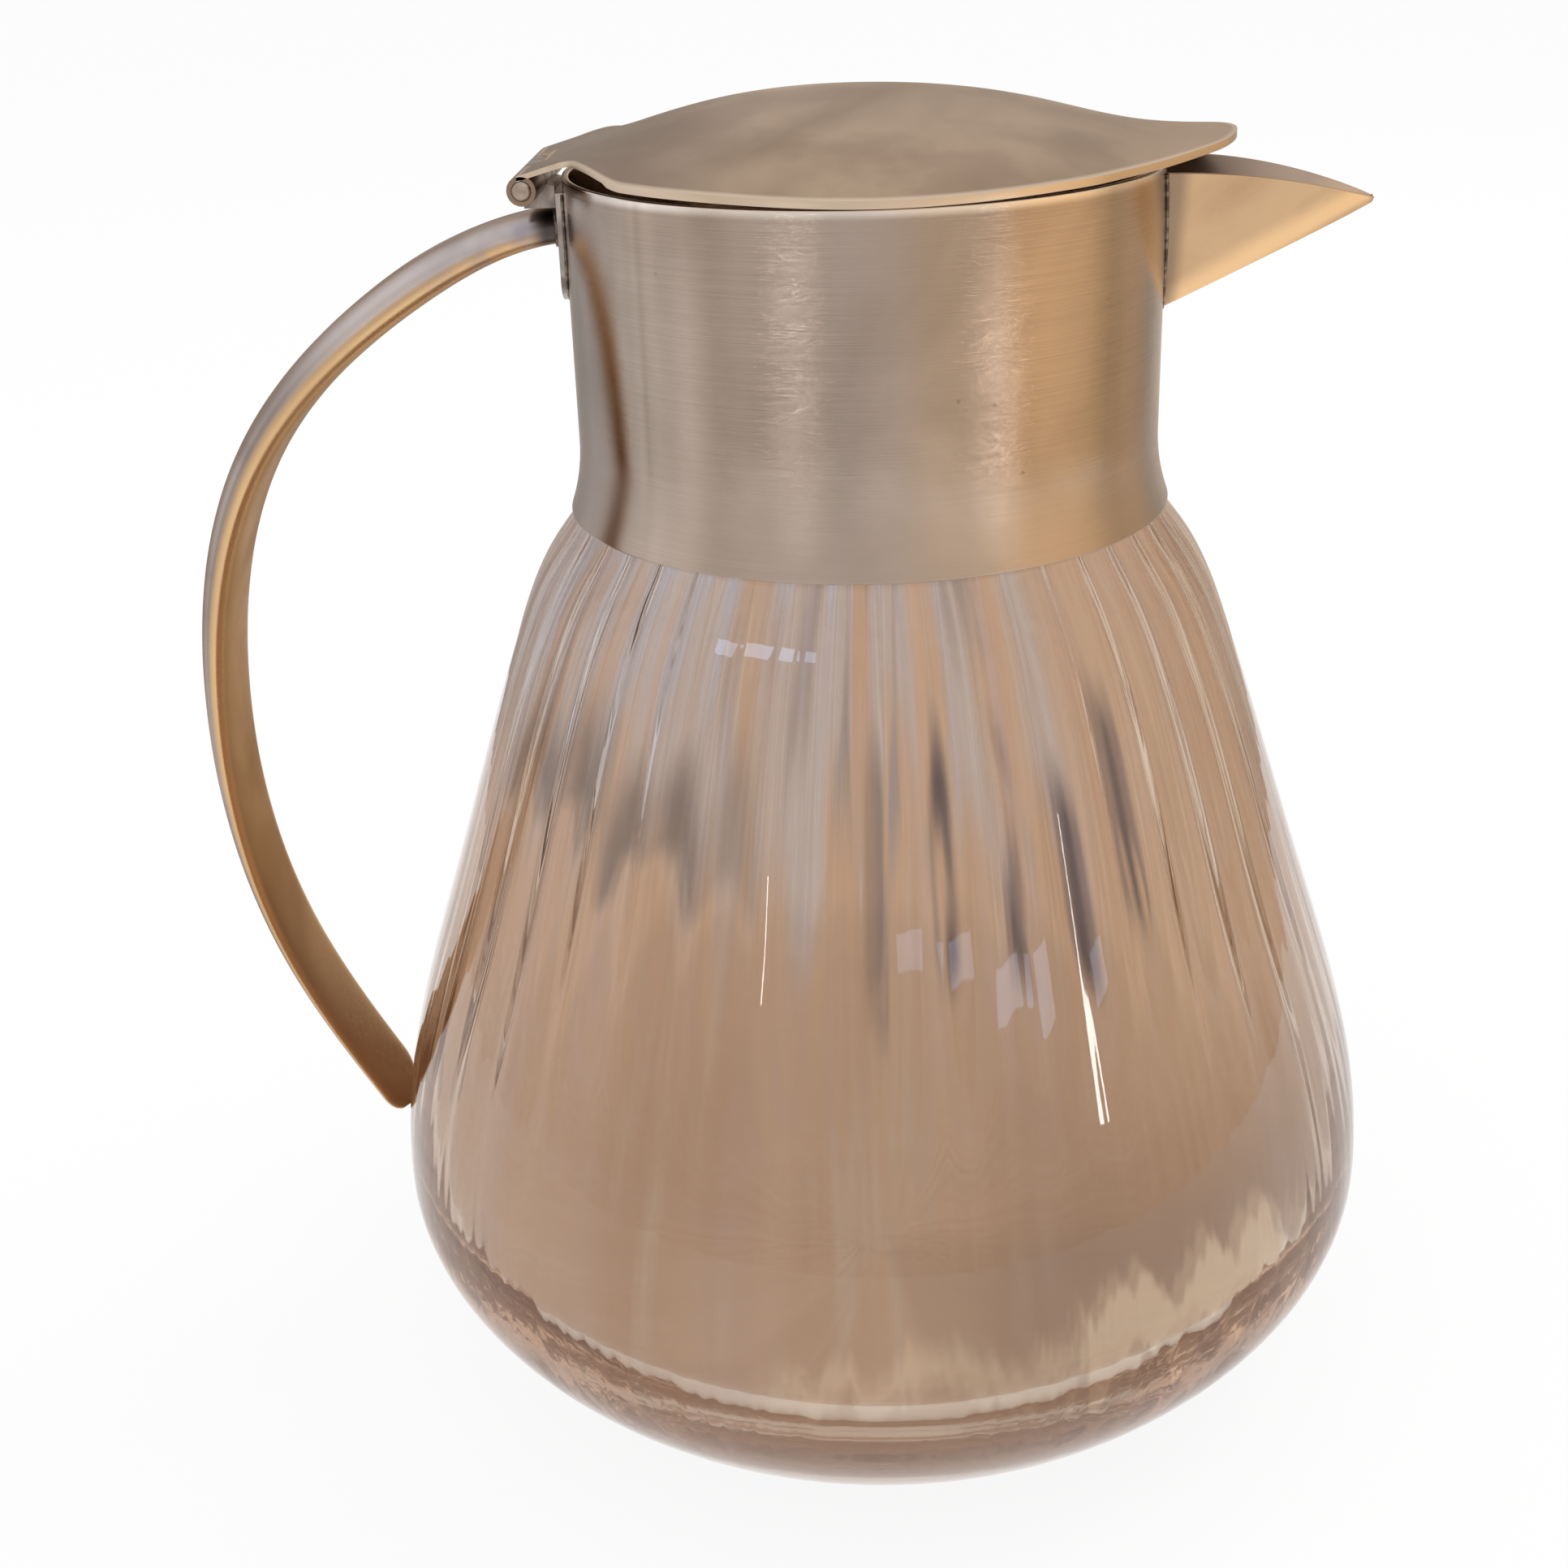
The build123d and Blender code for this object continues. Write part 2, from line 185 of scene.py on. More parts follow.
floor_half = 40.0
floor_height = -0.0004
floor_signs = ((-1, -1), (1, -1), (1, 1), (-1, 1))
floor_corners = [(x * floor_half, y * floor_half, floor_height) for x, y in floor_signs]
floor = plain_piece("floor", floor_corners, faces=[(0, 1, 2, 3)])
floor_finish = bpy.data.materials.new("pale_floor")
tree = cleared(floor_finish)
floor_share = times(seen_plainly(tree), 0.9)
floor_lit = step(tree, "ShaderNodeBsdfDiffuse", [("Color", (0.94, 0.94, 0.94))]).outputs[0]
floor_glow = step(tree, "ShaderNodeEmission", [("Color", white)]).outputs[0]
floor_mix = step(tree, "ShaderNodeMixShader", [(0, floor_share), (1, floor_lit), (2, floor_glow)])
step(tree, "ShaderNodeOutputMaterial", [("Surface", floor_mix.outputs[0])])
floor.data.materials.append(floor_finish)


def quads(rows, closed=True):
    """Faces between rows of points; a closed row runs back to its own first point."""
    for here, there in zip(rows, rows[1:]):
        for i in range(len(here) if closed else len(here) - 1):
            j = (i + 1) % len(here)
            yield here[i], there[i], there[j], here[j]


def split(vector):
    """The X, Y and Z sockets of a vector."""
    return step(vector.id_data, "ShaderNodeSeparateXYZ", [(0, vector)]).outputs


def joined(*parts):
    """A vector of three sockets or numbers."""
    return step(tree_of(*parts), "ShaderNodeCombineXYZ", enumerate(parts)).outputs[0]


def vectors(kind, *terms):
    """One step of arithmetic with vectors."""
    made = step(tree_of(*terms), "ShaderNodeVectorMath", enumerate(terms), operation=kind).outputs
    return made["Value" if kind == "DOT_PRODUCT" else "Vector"]


def noise(spot, scale, detail, *links, **settings):
    """Soft noise at a spot, mostly between 0.3 and 0.7."""
    links = [("Vector", spot), ("Scale", scale), ("Detail", detail), *links]
    return step(spot.id_data, "ShaderNodeTexNoise", links, **settings).outputs["Fac"]


def blended(factor, below, above):
    """The colour above laid over the one below as far as the factor says."""
    links = [("Factor", factor), (6, below), (7, above)]
    return step(factor.id_data, "ShaderNodeMix", links, data_type="RGBA").outputs[2]


tent_turns = 72
tent_points = []
tent_rows = []
for radius, height in (
    (0.46, 0.0),
    (0.46, 0.15),
    (0.46, 0.3),
    (0.44, 0.42),
    (0.38, 0.54),
    (0.27, 0.63),
    (0.13, 0.68),
    (0.0, 0.7),
):
    tent_rows.append(range(len(tent_points), len(tent_points) + tent_turns))
    for i in range(tent_turns):
        a = 2 * pi * i / tent_turns
        tent_points.append((radius * cos(a), radius * sin(a), height))
tent = plain_piece("light_tent", tent_points, faces=list(quads(tent_rows[::-1])))
for way in ("camera", "diffuse", "transmission", "volume_scatter", "shadow"):
    setattr(tent, "visible_" + way, False)
tent_cloth = bpy.data.materials.new("tent_cloth")
tree = cleared(tent_cloth)
spot = step(tree, "ShaderNodeTexCoord").outputs["Object"]
place = split(spot)
turned = maths("DIVIDE", maths("ARCTAN2", place["X"], times(place["Y"], -1.0)), 2 * pi)
curtains = step(tree, "ShaderNodeValToRGB", [("Fac", maths("ADD", turned, 0.5))])
curtains.color_ramp.interpolation = "EASE"
stops = curtains.color_ramp.elements
stops.remove(stops[1])
for turn, cloth in (
    (-180, (0.56, 0.48, 0.41)),
    (-150, (0.38, 0.35, 0.33)),
    (-122, (0.68, 0.67, 0.68)),
    (-96, (0.82, 0.81, 0.81)),
    (-86, (0.96, 0.94, 0.93)),
    (-70, (0.93, 0.90, 0.88)),
    (-58, (0.76, 0.71, 0.66)),
    (-30, (0.74, 0.71, 0.68)),
    (5, (0.72, 0.68, 0.65)),
    (24, (1.0, 0.85, 0.69)),
    (42, (0.84, 0.72, 0.58)),
    (58, (1.12, 0.80, 0.48)),
    (86, (1.06, 0.76, 0.45)),
    (96, (0.64, 0.47, 0.29)),
    (122, (0.62, 0.46, 0.31)),
    (134, (0.38, 0.34, 0.30)),
    (150, (0.62, 0.53, 0.44)),
    (180, (0.56, 0.48, 0.41)),
):
    stop = stops[0] if turn == -180 else stops.new(turn / 360 + 0.5)
    stop.color = (*cloth, 1.0)
folds = noise(vectors("MULTIPLY", spot, (34.0, 34.0, 4.0)), 1.0, 3.0)
fold_level = ranged(folds, 0.3, 0.7, 0.66, 1.28)
roof = between(place["Z"], 0.28, 0.6)
draped = blended(roof, curtains.outputs["Color"], (0.84, 0.82, 0.80))
tent_glow = step(tree, "ShaderNodeEmission", [("Color", draped), ("Strength", fold_level)])
step(tree, "ShaderNodeOutputMaterial", [("Surface", tent_glow.outputs[0])])
tent.data.materials.append(tent_cloth)

# The glass vessel is blown into a ribbed mould and then smooth outside, with some
# forty shallow upright ribs on its inner wall that die out towards the belly.
# Its neck stands cemented in the metal collar, so the glass carries all the rest.
MM = 0.001
collar_bottom = 166.5
flare_top = 178.5
neck_top = 196.0
neck_radius = 47.3
neck_bore = 44.1
neck_rounding = 0.8
rounding_middle = 0.25
throat_radius, throat_height, throat_wall = 56.2, 159.0, 4.6
shoulder_radius, shoulder_height = 63.2, 143.9
wall_radius, wall_height = 79.0, 96.2
belly_radius, belly_height, belly_wall = 92.2, 39.5, 5.2
foot_radius = 52.0
heel = (81.8, 16.6)
neck_root_radius = 50.7
inner_heel, inner_foot = (75.6, 22.8), (48.0, 9.2)
glass_wall = 3.8
floor_thickness = 8.0
rib_count = 40


def smooth_line(points, start=None, end=None, steps=24):
    """A cubic line through the points, spaced by their distances."""
    p = np.array(points, float)
    h = np.linalg.norm(np.diff(p, axis=0), axis=1)
    n = len(p)
    a = np.zeros((n, n))
    b = np.zeros_like(p)
    for i in range(1, n - 1):
        a[i, i - 1 : i + 2] = h[i], 2 * (h[i - 1] + h[i]), h[i - 1]
        b[i] = 3 * (h[i] / h[i - 1] * (p[i] - p[i - 1]) + h[i - 1] / h[i] * (p[i + 1] - p[i]))
    for i, j, k, way in ((0, 1, 0, start), (n - 1, n - 2, n - 2, end)):
        if way is None:
            a[i, i], a[i, j] = 2, 1
            b[i] = 3 * (p[k + 1] - p[k]) / h[k]
        else:
            a[i, i] = 1
            b[i] = np.array(way, float) / np.linalg.norm(way)
    m = np.linalg.solve(a, b)
    line = [p[0]]
    for i in range(n - 1):
        t = np.linspace(0, 1, steps + 1)[1:, None]
        line.extend(
            (1 + 2 * t) * (1 - t) ** 2 * p[i]
            + t * (1 - t) ** 2 * h[i] * m[i]
            + t * t * (3 - 2 * t) * p[i + 1]
            + t * t * (t - 1) * h[i] * m[i + 1]
        )
    return np.array(line)


def neck_end(radius, way):
    """The rounded end of one side of the neck, from the wall up to its top."""
    return [
        (radius, neck_top - neck_rounding),
        (radius + way * rounding_middle, neck_top - rounding_middle),
        (radius + way * neck_rounding, neck_top),
    ]


up, down, outwards, inwards = (0, 1), (0, -1), (1, 0), (-1, 0)
outer_wall = np.vstack([
    [(0.0, 0.0), (foot_radius / 2, 0.0)],
    smooth_line([(foot_radius, 0.0), heel, (belly_radius, belly_height)], outwards, up),
    smooth_line(
        [
            (belly_radius, belly_height),
            (wall_radius, wall_height),
            (shoulder_radius, shoulder_height),
            (throat_radius, throat_height),
            (neck_root_radius, collar_bottom),
            (neck_radius, flare_top),
        ],
        up,
        up,
    )[1:],
    neck_end(neck_radius, -1),
])
inner_belly = (belly_radius - belly_wall, belly_height + belly_wall)
inner_wall = np.vstack([
    neck_end(neck_bore, 1)[::-1],
    smooth_line(
        [
            (neck_bore, flare_top),
            (throat_radius - throat_wall, throat_height),
            (shoulder_radius - glass_wall, shoulder_height),
            (wall_radius - glass_wall, wall_height),
            inner_belly,
        ],
        down,
        down,
    ),
    smooth_line([inner_belly, inner_heel, inner_foot, (0.0, floor_thickness)], down, inwards)[1:],
])
wall_points = [(r * MM, 0.0, z * MM) for r, z in np.vstack([outer_wall, inner_wall])]
glass_line = plain_piece("glass_wall_line", wall_points, [(i, i + 1) for i in range(len(wall_points) - 1)])
inside_mark = glass_line.data.attributes.new("inside", "FLOAT", "POINT")
inside_mark.data.foreach_set("value", [0.0] * len(outer_wall) + [1.0] * len(inner_wall))


def group_tree(name, kind, inputs, outputs):
    """A new node group with named sockets, and the sockets that its inputs come in by."""
    tree = bpy.data.node_groups.new(name, kind)
    for label, sort, value in inputs:
        socket = tree.interface.new_socket(label, in_out="INPUT", socket_type="NodeSocket" + sort)
        if value is not None:
            socket.default_value = value
    for label, sort in outputs:
        tree.interface.new_socket(label, in_out="OUTPUT", socket_type="NodeSocket" + sort)
    return tree, tree.nodes.new("NodeGroupInput").outputs


def coated(geometry, material):
    """Ends a tree: the geometry made real, given its material and handed out."""
    whole = step(geometry.id_data, "GeometryNodeRealizeInstances", [("Geometry", geometry)]).outputs[0]
    coat = step(geometry.id_data, "GeometryNodeSetMaterial", [("Geometry", whole), ("Material", material)])
    step(geometry.id_data, "NodeGroupOutput", [(0, coat.outputs[0])])


blow, given = group_tree(
    "blown_ribbed_glass",
    "GeometryNodeTree",
    [
        ("Geometry", "Geometry", None),
        ("Meridians", "Int", 400),
        ("Stations", "Int", 236),
        ("Ribs", "Int", rib_count),
        ("Rib depth", "Float", 0.0011),
        ("Rib foot height", "Float", 0.045),
        ("Rib full height", "Float", 0.135),
        ("Glass", "Material", None),
    ],
    [("Geometry", "Geometry")],
)
blown_line = step(blow, "GeometryNodeMeshToCurve", [("Mesh", given["Geometry"])]).outputs[0]
meridians = maths("ADD", given["Meridians"], 1.0)
sheet_links = [("Size X", 1.0), ("Size Y", 1.0), ("Vertices X", meridians), ("Vertices Y", given["Stations"])]
sheet = step(blow, "GeometryNodeMeshGrid", sheet_links).outputs["Mesh"]
place = split(step(blow, "GeometryNodeInputPosition").outputs[0])
turn = times(maths("ADD", place["X"], 0.5), 2 * pi)
along = maths("ADD", place["Y"], 0.5)
inside = step(blow, "GeometryNodeInputNamedAttribute", [("Name", "inside")], data_type="FLOAT").outputs[0]
wall_point = step(
    blow,
    "GeometryNodeSampleCurve",
    [("Curves", blown_line), ("Factor", along), ("Value", inside)],
    mode="FACTOR",
    data_type="FLOAT",
).outputs
wall = split(wall_point["Position"])
rise = between(wall["Z"], given["Rib foot height"], given["Rib full height"])
swell = times(maths("ADD", maths("COSINE", times(turn, given["Ribs"])), 1.0), 0.5)
ridge = times(maths("POWER", swell, 1.6), given["Rib depth"], rise, wall_point["Value"])
radius = maths("SUBTRACT", wall["X"], ridge)
blown_place = joined(times(radius, maths("COSINE", turn)), times(radius, maths("SINE", turn)), wall["Z"])
moved = step(blow, "GeometryNodeSetPosition", [("Geometry", sheet), ("Position", blown_place)]).outputs[0]
sealed = step(blow, "GeometryNodeMergeByDistance", [("Geometry", moved), ("Distance", 0.000002)]).outputs[0]
even = step(blow, "GeometryNodeSetShadeSmooth", [("Geometry", sealed)]).outputs[0]
coated(even, given["Glass"])


def settled(piece, modifier):
    """Leaves a modifier's result as the piece's plain mesh."""
    piece.update_tag()
    bpy.context.view_layer.update()
    ready = piece.evaluated_get(bpy.context.evaluated_depsgraph_get())
    made = bpy.data.meshes.new_from_object(ready)
    piece.modifiers.remove(modifier)
    piece.data = made


def shape_by(tree, piece, **values):
    """Shapes a piece by a tree, whose named inputs get the values."""
    growth = piece.modifiers.new(tree.name, "NODES")
    growth.node_group = tree
    for socket in tree.interface.items_tree:
        key = socket.name.replace(" ", "_").lower()
        if socket.in_out == "INPUT" and key in values:
            growth[socket.identifier] = values[key]
    settled(piece, growth)


def outward(piece, smooth=True):
    """Joins doubled points, turns every face outwards and shades it smooth or flat."""
    b = bmesh.new()
    b.from_mesh(piece.data)
    bmesh.ops.remove_doubles(b, verts=b.verts, dist=0.000001)
    bmesh.ops.recalc_face_normals(b, faces=b.faces)
    for face in b.faces:
        face.smooth = smooth
    b.to_mesh(piece.data)
    b.free()


def plain_finish(name):
    """A new material, its tree, its shader and its object coordinates."""
    finish = bpy.data.materials.new(name)
    finish.use_nodes = True
    tree = finish.node_tree
    return finish, tree, tree.nodes["Principled BSDF"], step(tree, "ShaderNodeTexCoord").outputs["Object"]


def bumped(height, strength, distance):
    """The normals of a surface that stands up and sinks in with the height."""
    links = [("Height", height), ("Strength", strength), ("Distance", distance)]
    return step(height.id_data, "ShaderNodeBump", links).outputs["Normal"]


def layered(base, *coats):
    """A base colour under coats, each given by its mask, its strength and its colour."""
    for mask, strength, colour in coats:
        base = blended(times(mask, strength), base, colour)
    return base


clear_glass, tree, shader, spot = plain_finish("clear_ribbed_glass")
place = split(spot)
around = vectors("NORMALIZE", joined(place["X"], place["Y"], 0.0))
upright_spot = vectors("ADD", around, joined(0.0, 0.0, times(place["Z"], 0.9)))


def cloudy(scale, low, high, detail=2.0, shift=0.0):
    """Soft upright clouds round the glass, from 0 below the low value to 1 above the high one."""
    return between(noise(vectors("ADD", upright_spot, (shift, shift, shift)), scale, detail), low, high)


def facing_towards(x, y):
    """How nearly a point of the wall faces a level direction, 1 where it faces it squarely."""
    return vectors("DOT_PRODUCT", around, (x, y, 0.0))


rib_wave = maths("COSINE", times(maths("ARCTAN2", place["Y"], place["X"]), float(rib_count)))
wander = times(maths("SUBTRACT", cloudy(9.0, 0.3, 0.7, 1.0), 0.5), 0.018)
loose = maths("ADD", place["Z"], wander)
waved = maths("ADD", loose, times(rib_wave, 0.006))
spiked = maths("SUBTRACT", loose, times(rib_wave, 0.009))
# Painted reflection: the tan tint and its soft clouds stand in for the warm room seen through the clear
# glass.
painted_room_tint = layered(
    blended(cloudy(4.0, 0.32, 0.68), (0.655, 0.505, 0.395), (0.73, 0.585, 0.465)),
    (cloudy(7.0, 0.5, 0.7, 2.0, 5.0), 1.0, (0.69, 0.565, 0.5)),
    (cloudy(22.0, 0.5, 0.72, 2.0, 4.0), 1.0, (0.72, 0.62, 0.53)),
)
# Painted reflection: bluish-grey clouds laid on the upper glass, most on its left front, stand in for cool
# light of the room.
painted_cool_reflection = layered(
    painted_room_tint,
    (cloudy(12.0, 0.38, 0.56, 2.0, 9.0), 1.0, (0.66, 0.65, 0.69)),
    (cloudy(22.0, 0.56, 0.7, 1.0, 3.0), 1.0, (0.46, 0.44, 0.46)),
)
cool_side = between(maths("ADD", facing_towards(-0.85, -0.3), cloudy(3.0, 0.3, 0.7)), 0.2, 0.95)
upper = blended(times(between(waved, 0.112, 0.135), cool_side), painted_room_tint, painted_cool_reflection)
# Painted reflection: a dark band round the shoulder on the left front, dark parts of the room seen through
# the ribs.
painted_dark_band = times(
    between(loose, 0.12, 0.125),
    between(loose, 0.143, 0.13),
    between(facing_towards(-0.68, -0.73), 0.84, 0.97),
    between(rib_wave, -2.2, 0.6),
)
# Painted reflection: dark upright streaks along the ribs on the right front, dark parts of the room seen
# through them.
painted_dark_streaks = times(
    between(waved, 0.103, 0.114),
    between(spiked, 0.138, 0.124),
    between(facing_towards(0.36, -0.93), 0.9, 0.96),
    between(rib_wave, 0.25, 0.9),
    cloudy(30.0, 0.3, 0.5, 1.0, 6.0),
)
# Painted shade: the lower right of the glass is darkened.
painted_low_right_shade = times(between(place["Z"], 0.1, 0.06), between(facing_towards(0.8, -0.6), 0.6, 0.9))
thick_foot = between(place["Z"], 0.044, 0.03)
# Painted light: a pale yellow pool low on the right front and a bright streak low in front stand in for light
# gathered in the thick base.
pool_edge = times(maths("SUBTRACT", cloudy(12.0, 0.3, 0.7, 3.0, 7.0), 0.5), 0.012)
pool_level = maths("ADD", place["Z"], pool_edge)
painted_light_pool = times(
    between(pool_level, 0.036, 0.039),
    between(pool_level, 0.056, 0.052),
    between(maths("ADD", facing_towards(0.63, -0.78), times(pool_edge, 4.0)), 0.945, 0.965),
)
painted_glint_streak = times(
    between(pool_level, 0.04, 0.043),
    between(pool_level, 0.05, 0.046),
    between(facing_towards(0.1, -0.99), 0.93, 0.97),
)
# Painted shade: the glass is darkened warm towards its outline, where it turns away from the view.
painted_edge_shade = step(tree, "ShaderNodeLayerWeight", [("Blend", 0.5)]).outputs["Facing"]
glass_colour = layered(
    upper,
    (painted_dark_band, 0.8, (0.24, 0.215, 0.215)),
    (painted_dark_streaks, 0.95, (0.15, 0.13, 0.16)),
    (painted_low_right_shade, 0.6, (0.5, 0.39, 0.31)),
    (thick_foot, 0.35, (0.42, 0.335, 0.265)),
    (maths("MAXIMUM", painted_light_pool, times(painted_glint_streak, 0.6)), 1.0, (1.0, 0.9, 0.74)),
    (between(painted_edge_shade, 0.5, 0.9), 0.75, (0.5, 0.35, 0.25)),
)
# Painted light: on the last bounce the glass glows a warm tan, standing in for the light of paths cut short.
last_bounce = maths("GREATER_THAN", step(tree, "ShaderNodeLightPath").outputs["Ray Depth"], bounces - 0.5)
feed(shader, [
    ("Base Color", glass_colour),
    ("Transmission Weight", 1.0),
    ("Roughness", 0.02),
    ("IOR", 1.42),
    ("Normal", bumped(noise(upright_spot, 9.0, 2.0), 0.14, 0.002)),
    ("Emission Color", blended(last_bounce, (0.0, 0.0, 0.0), (0.27, 0.21, 0.16))),
    ("Emission Strength", 1.0),
])
# Painted reflection: the tan absorption also stands in for the warm room seen through the glass.
painted_room_absorption = step(tree, "ShaderNodeVolumeAbsorption", [("Color", (0.64, 0.48, 0.36)), ("Density", 8.0)])
feed(tree.nodes["Material Output"], [("Volume", painted_room_absorption.outputs[0])])

shape_by(blow, glass_line, glass=clear_glass)
glass_line.name = "ribbed_glass_vessel"
outward(glass_line)
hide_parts("glass_body")
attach(glass_line, "jug")
glass_alone = bpy.data.collections.new("glass_alone")
glass_alone.objects.link(glass_line)
for name, turn, height, size, power in (
    ("high_pane_a", -50, 0.405, (0.05, 0.05), 0.05),
    ("high_pane_b", -40, 0.425, (0.05, 0.05), 0.06),
    ("high_pane_c", -30, 0.435, (0.05, 0.05), 0.06),
    ("high_pane_d", -20, 0.44, (0.05, 0.04), 0.04),
    ("low_pane_a", 8, 0.157, (0.04, 0.012), 0.005),
    ("low_pane_b", 19, 0.15, (0.05, 0.014), 0.008),
    ("low_pane_c", 30, 0.136, (0.05, 0.014), 0.009),
    ("low_pane_d", 39, 0.13, (0.04, 0.022), 0.011),
    ("low_pane_e", 52, 0.12, (0.04, 0.014), 0.006),
):
    pane = glint_lamp(name, turn, height, size, power, (0.52, 0.68, 1.0))
    pane.light_linking.receiver_collection = glass_alone

# The cement is a pale plaster ring between neck and collar, poured when the
# mount is set. It is hidden by the collar and shows only through the mouth.
plaster, tree, shader, spot = plain_finish("setting_plaster")
grains = noise(spot, 900.0, 4.0)
feed(shader, [
    ("Base Color", blended(grains, (0.46, 0.43, 0.37), (0.72, 0.7, 0.63))),
    ("Normal", bumped(grains, 0.5, 0.0004)),
    ("Roughness", 0.9),
])


def dress(piece, finish):
    """Gives a piece one finish in place of any that it had."""
    piece.data.materials.clear()
    piece.data.materials.append(finish)


dress(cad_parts["cement_bed"], plaster)

# The collar is a spun tube of silver-plated brass with a flared lower lip. It was
# finished on the lathe, so hair-fine brushing runs round it, and has dulled with age.
rim_height = 223.0
collar_radius = 50.0
collar_wall = 1.2
flare_width = 2.2
rim_rounding = 0.5
lip_rounding = 0.4
collar_turns = 288
brushing, given = group_tree(
    "hairline_brushing",
    "ShaderNodeTree",
    [("Vector", "Vector", None), ("Stretch", "Vector", (1.0, 1.0, 1.0)), ("Depth", "Float", 0.2)],
    [("Lines", "Float"), ("Normal", "Vector")],
)
hairs = noise(vectors("MULTIPLY", given["Vector"], given["Stretch"]), 1.0, 5.0, ("Roughness", 0.7))
step(brushing, "NodeGroupOutput", [("Lines", hairs), ("Normal", bumped(hairs, given["Depth"], 0.0001))])

tarnish, given = group_tree(
    "aged_plate",
    "ShaderNodeTree",
    [
        ("Vector", "Vector", None),
        ("Cloud scale", "Float", 22.0),
        ("Bright", "Color", (0.62, 0.56, 0.5, 1.0)),
        ("Dull", "Color", (0.42, 0.35, 0.29, 1.0)),
        ("Speck colour", "Color", (0.07, 0.05, 0.05, 1.0)),
        ("Specks", "Float", 0.5),
    ],
    [("Colour", "Color"), ("Dullness", "Float")],
)
clouds = noise(given["Vector"], given["Cloud scale"], 4.0, ("Distortion", 0.6))
dulled = between(clouds, 0.36, 0.68)
pinholes = step(tarnish, "ShaderNodeTexVoronoi", [("Vector", given["Vector"]), ("Scale", 420.0)])
rare = ranged(noise(given["Vector"], 60.0, 1.0), 0.68, 0.76)
speck = times(ranged(pinholes.outputs["Distance"], 0.2, 0.06), rare, given["Specks"])
aged = blended(speck, blended(dulled, given["Bright"], given["Dull"]), given["Speck colour"])
step(tarnish, "NodeGroupOutput", [("Colour", aged), ("Dullness", maths("MAXIMUM", dulled, speck))])


def plated(
    name,
    stretch,
    depth,
    bright,
    dull,
    cloud_scale=22.0,
    specks=0.5,
    rough=(0.24, 0.4),
    hair=0.08,
    lathe=False,
):
    """Silver plate with tarnish and hairline brushing, which a lathe lays round the axis."""
    finish, tree, shader, spot = plain_finish(name)
    brush_spot = spot
    if lathe:
        place = split(spot)
        brush_spot = joined(maths("ARCTAN2", place["Y"], place["X"]), 0.0, place["Z"])
    brush_links = [("Vector", brush_spot), ("Stretch", stretch), ("Depth", depth)]
    brush = feed(step(tree, "ShaderNodeGroup", node_tree=brushing), brush_links).outputs
    age_links = [("Vector", spot), ("Cloud scale", cloud_scale), ("Specks", specks)]
    age_links += [("Bright", bright), ("Dull", dull)]
    age = feed(step(tree, "ShaderNodeGroup", node_tree=tarnish), age_links).outputs
    haired = ranged(brush["Lines"], 0.3, 0.7, 1 - hair, 1 + hair)
    haired_links = [(0, age["Colour"]), ("Scale", haired)]
    brushed = step(tree, "ShaderNodeVectorMath", haired_links, operation="SCALE").outputs[0]
    matt = maths("ADD", times(brush["Lines"], 0.35), times(age["Dullness"], 0.5))
    gloss = ranged(matt, 0.1, 0.7, *rough)
    feed(shader, [
        ("Metallic", 1.0),
        ("Base Color", brushed),
        ("Normal", brush["Normal"]),
        ("Roughness", gloss),
    ])
    return SimpleNamespace(
        finish=finish, tree=tree, shader=shader, spot=spot, aged=age["Colour"], brushed=brushed, gloss=gloss
    )


plate = plated(
    "collar_silver_plate",
    stretch=(0.7, 1.0, 9000.0),
    depth=0.22,
    bright=(0.5, 0.415, 0.355),
    dull=(0.39, 0.315, 0.26),
    rough=(0.07, 0.13),
    hair=0.11,
    lathe=True,
)
height = split(plate.spot)["Z"]
rubbing = times(maths("SUBTRACT", noise(plate.spot, 45.0, 3.0), 0.5), 0.03)
worn_lip = between(maths("ADD", height, rubbing), 0.195, 0.171)
# Painted highlight: a bright line along the top of the rim.
painted_rim_highlight = between(height, 0.2212, 0.2226)
feed(plate.shader, [
    (
        "Base Color",
        layered(
            plate.brushed,
            (worn_lip, 0.45, (0.58, 0.48, 0.41)),
            (painted_rim_highlight, 0.85, (0.9, 0.82, 0.75)),
        ),
    ),
    ("Roughness", maths("MAXIMUM", plate.gloss, times(worn_lip, 0.27))),
    ("Anisotropic", 0.9),
    ("Anisotropic Rotation", 0.25),
    ("Tangent", step(plate.tree, "ShaderNodeTangent", direction_type="RADIAL", axis="Z").outputs[0]),
])


def flare(radius, steps=10):
    """The lip's quarter sweep, leaving the straight tube smoothly."""
    drop = flare_top - collar_bottom
    bend = (drop**2 + flare_width**2) / (2 * flare_width)
    return [
        (radius + bend - sqrt(bend**2 - (drop * i / steps) ** 2), flare_top - drop * i / steps)
        for i in range(steps + 1)
    ]


def rounded(corner, before, after, radius, steps=4):
    """A corner of a profile, rounded by a short arc."""
    c, p, q = (np.array(v, float) for v in (corner, before, after))
    p, q = (p - c) / np.linalg.norm(p - c), (q - c) / np.linalg.norm(q - c)
    return [tuple(c + radius * (p * (1 - t) ** 2 + q * t**2)) for t in np.linspace(0, 1, steps + 1)]


def built(b, name, smooth=True):
    """A built mesh as a piece of the scene, with its faces turned outwards."""
    mesh = bpy.data.meshes.new(name)
    b.to_mesh(mesh)
    b.free()
    piece = bpy.data.objects.new(name, mesh)
    scene.collection.objects.link(piece)
    outward(piece, smooth)
    return piece


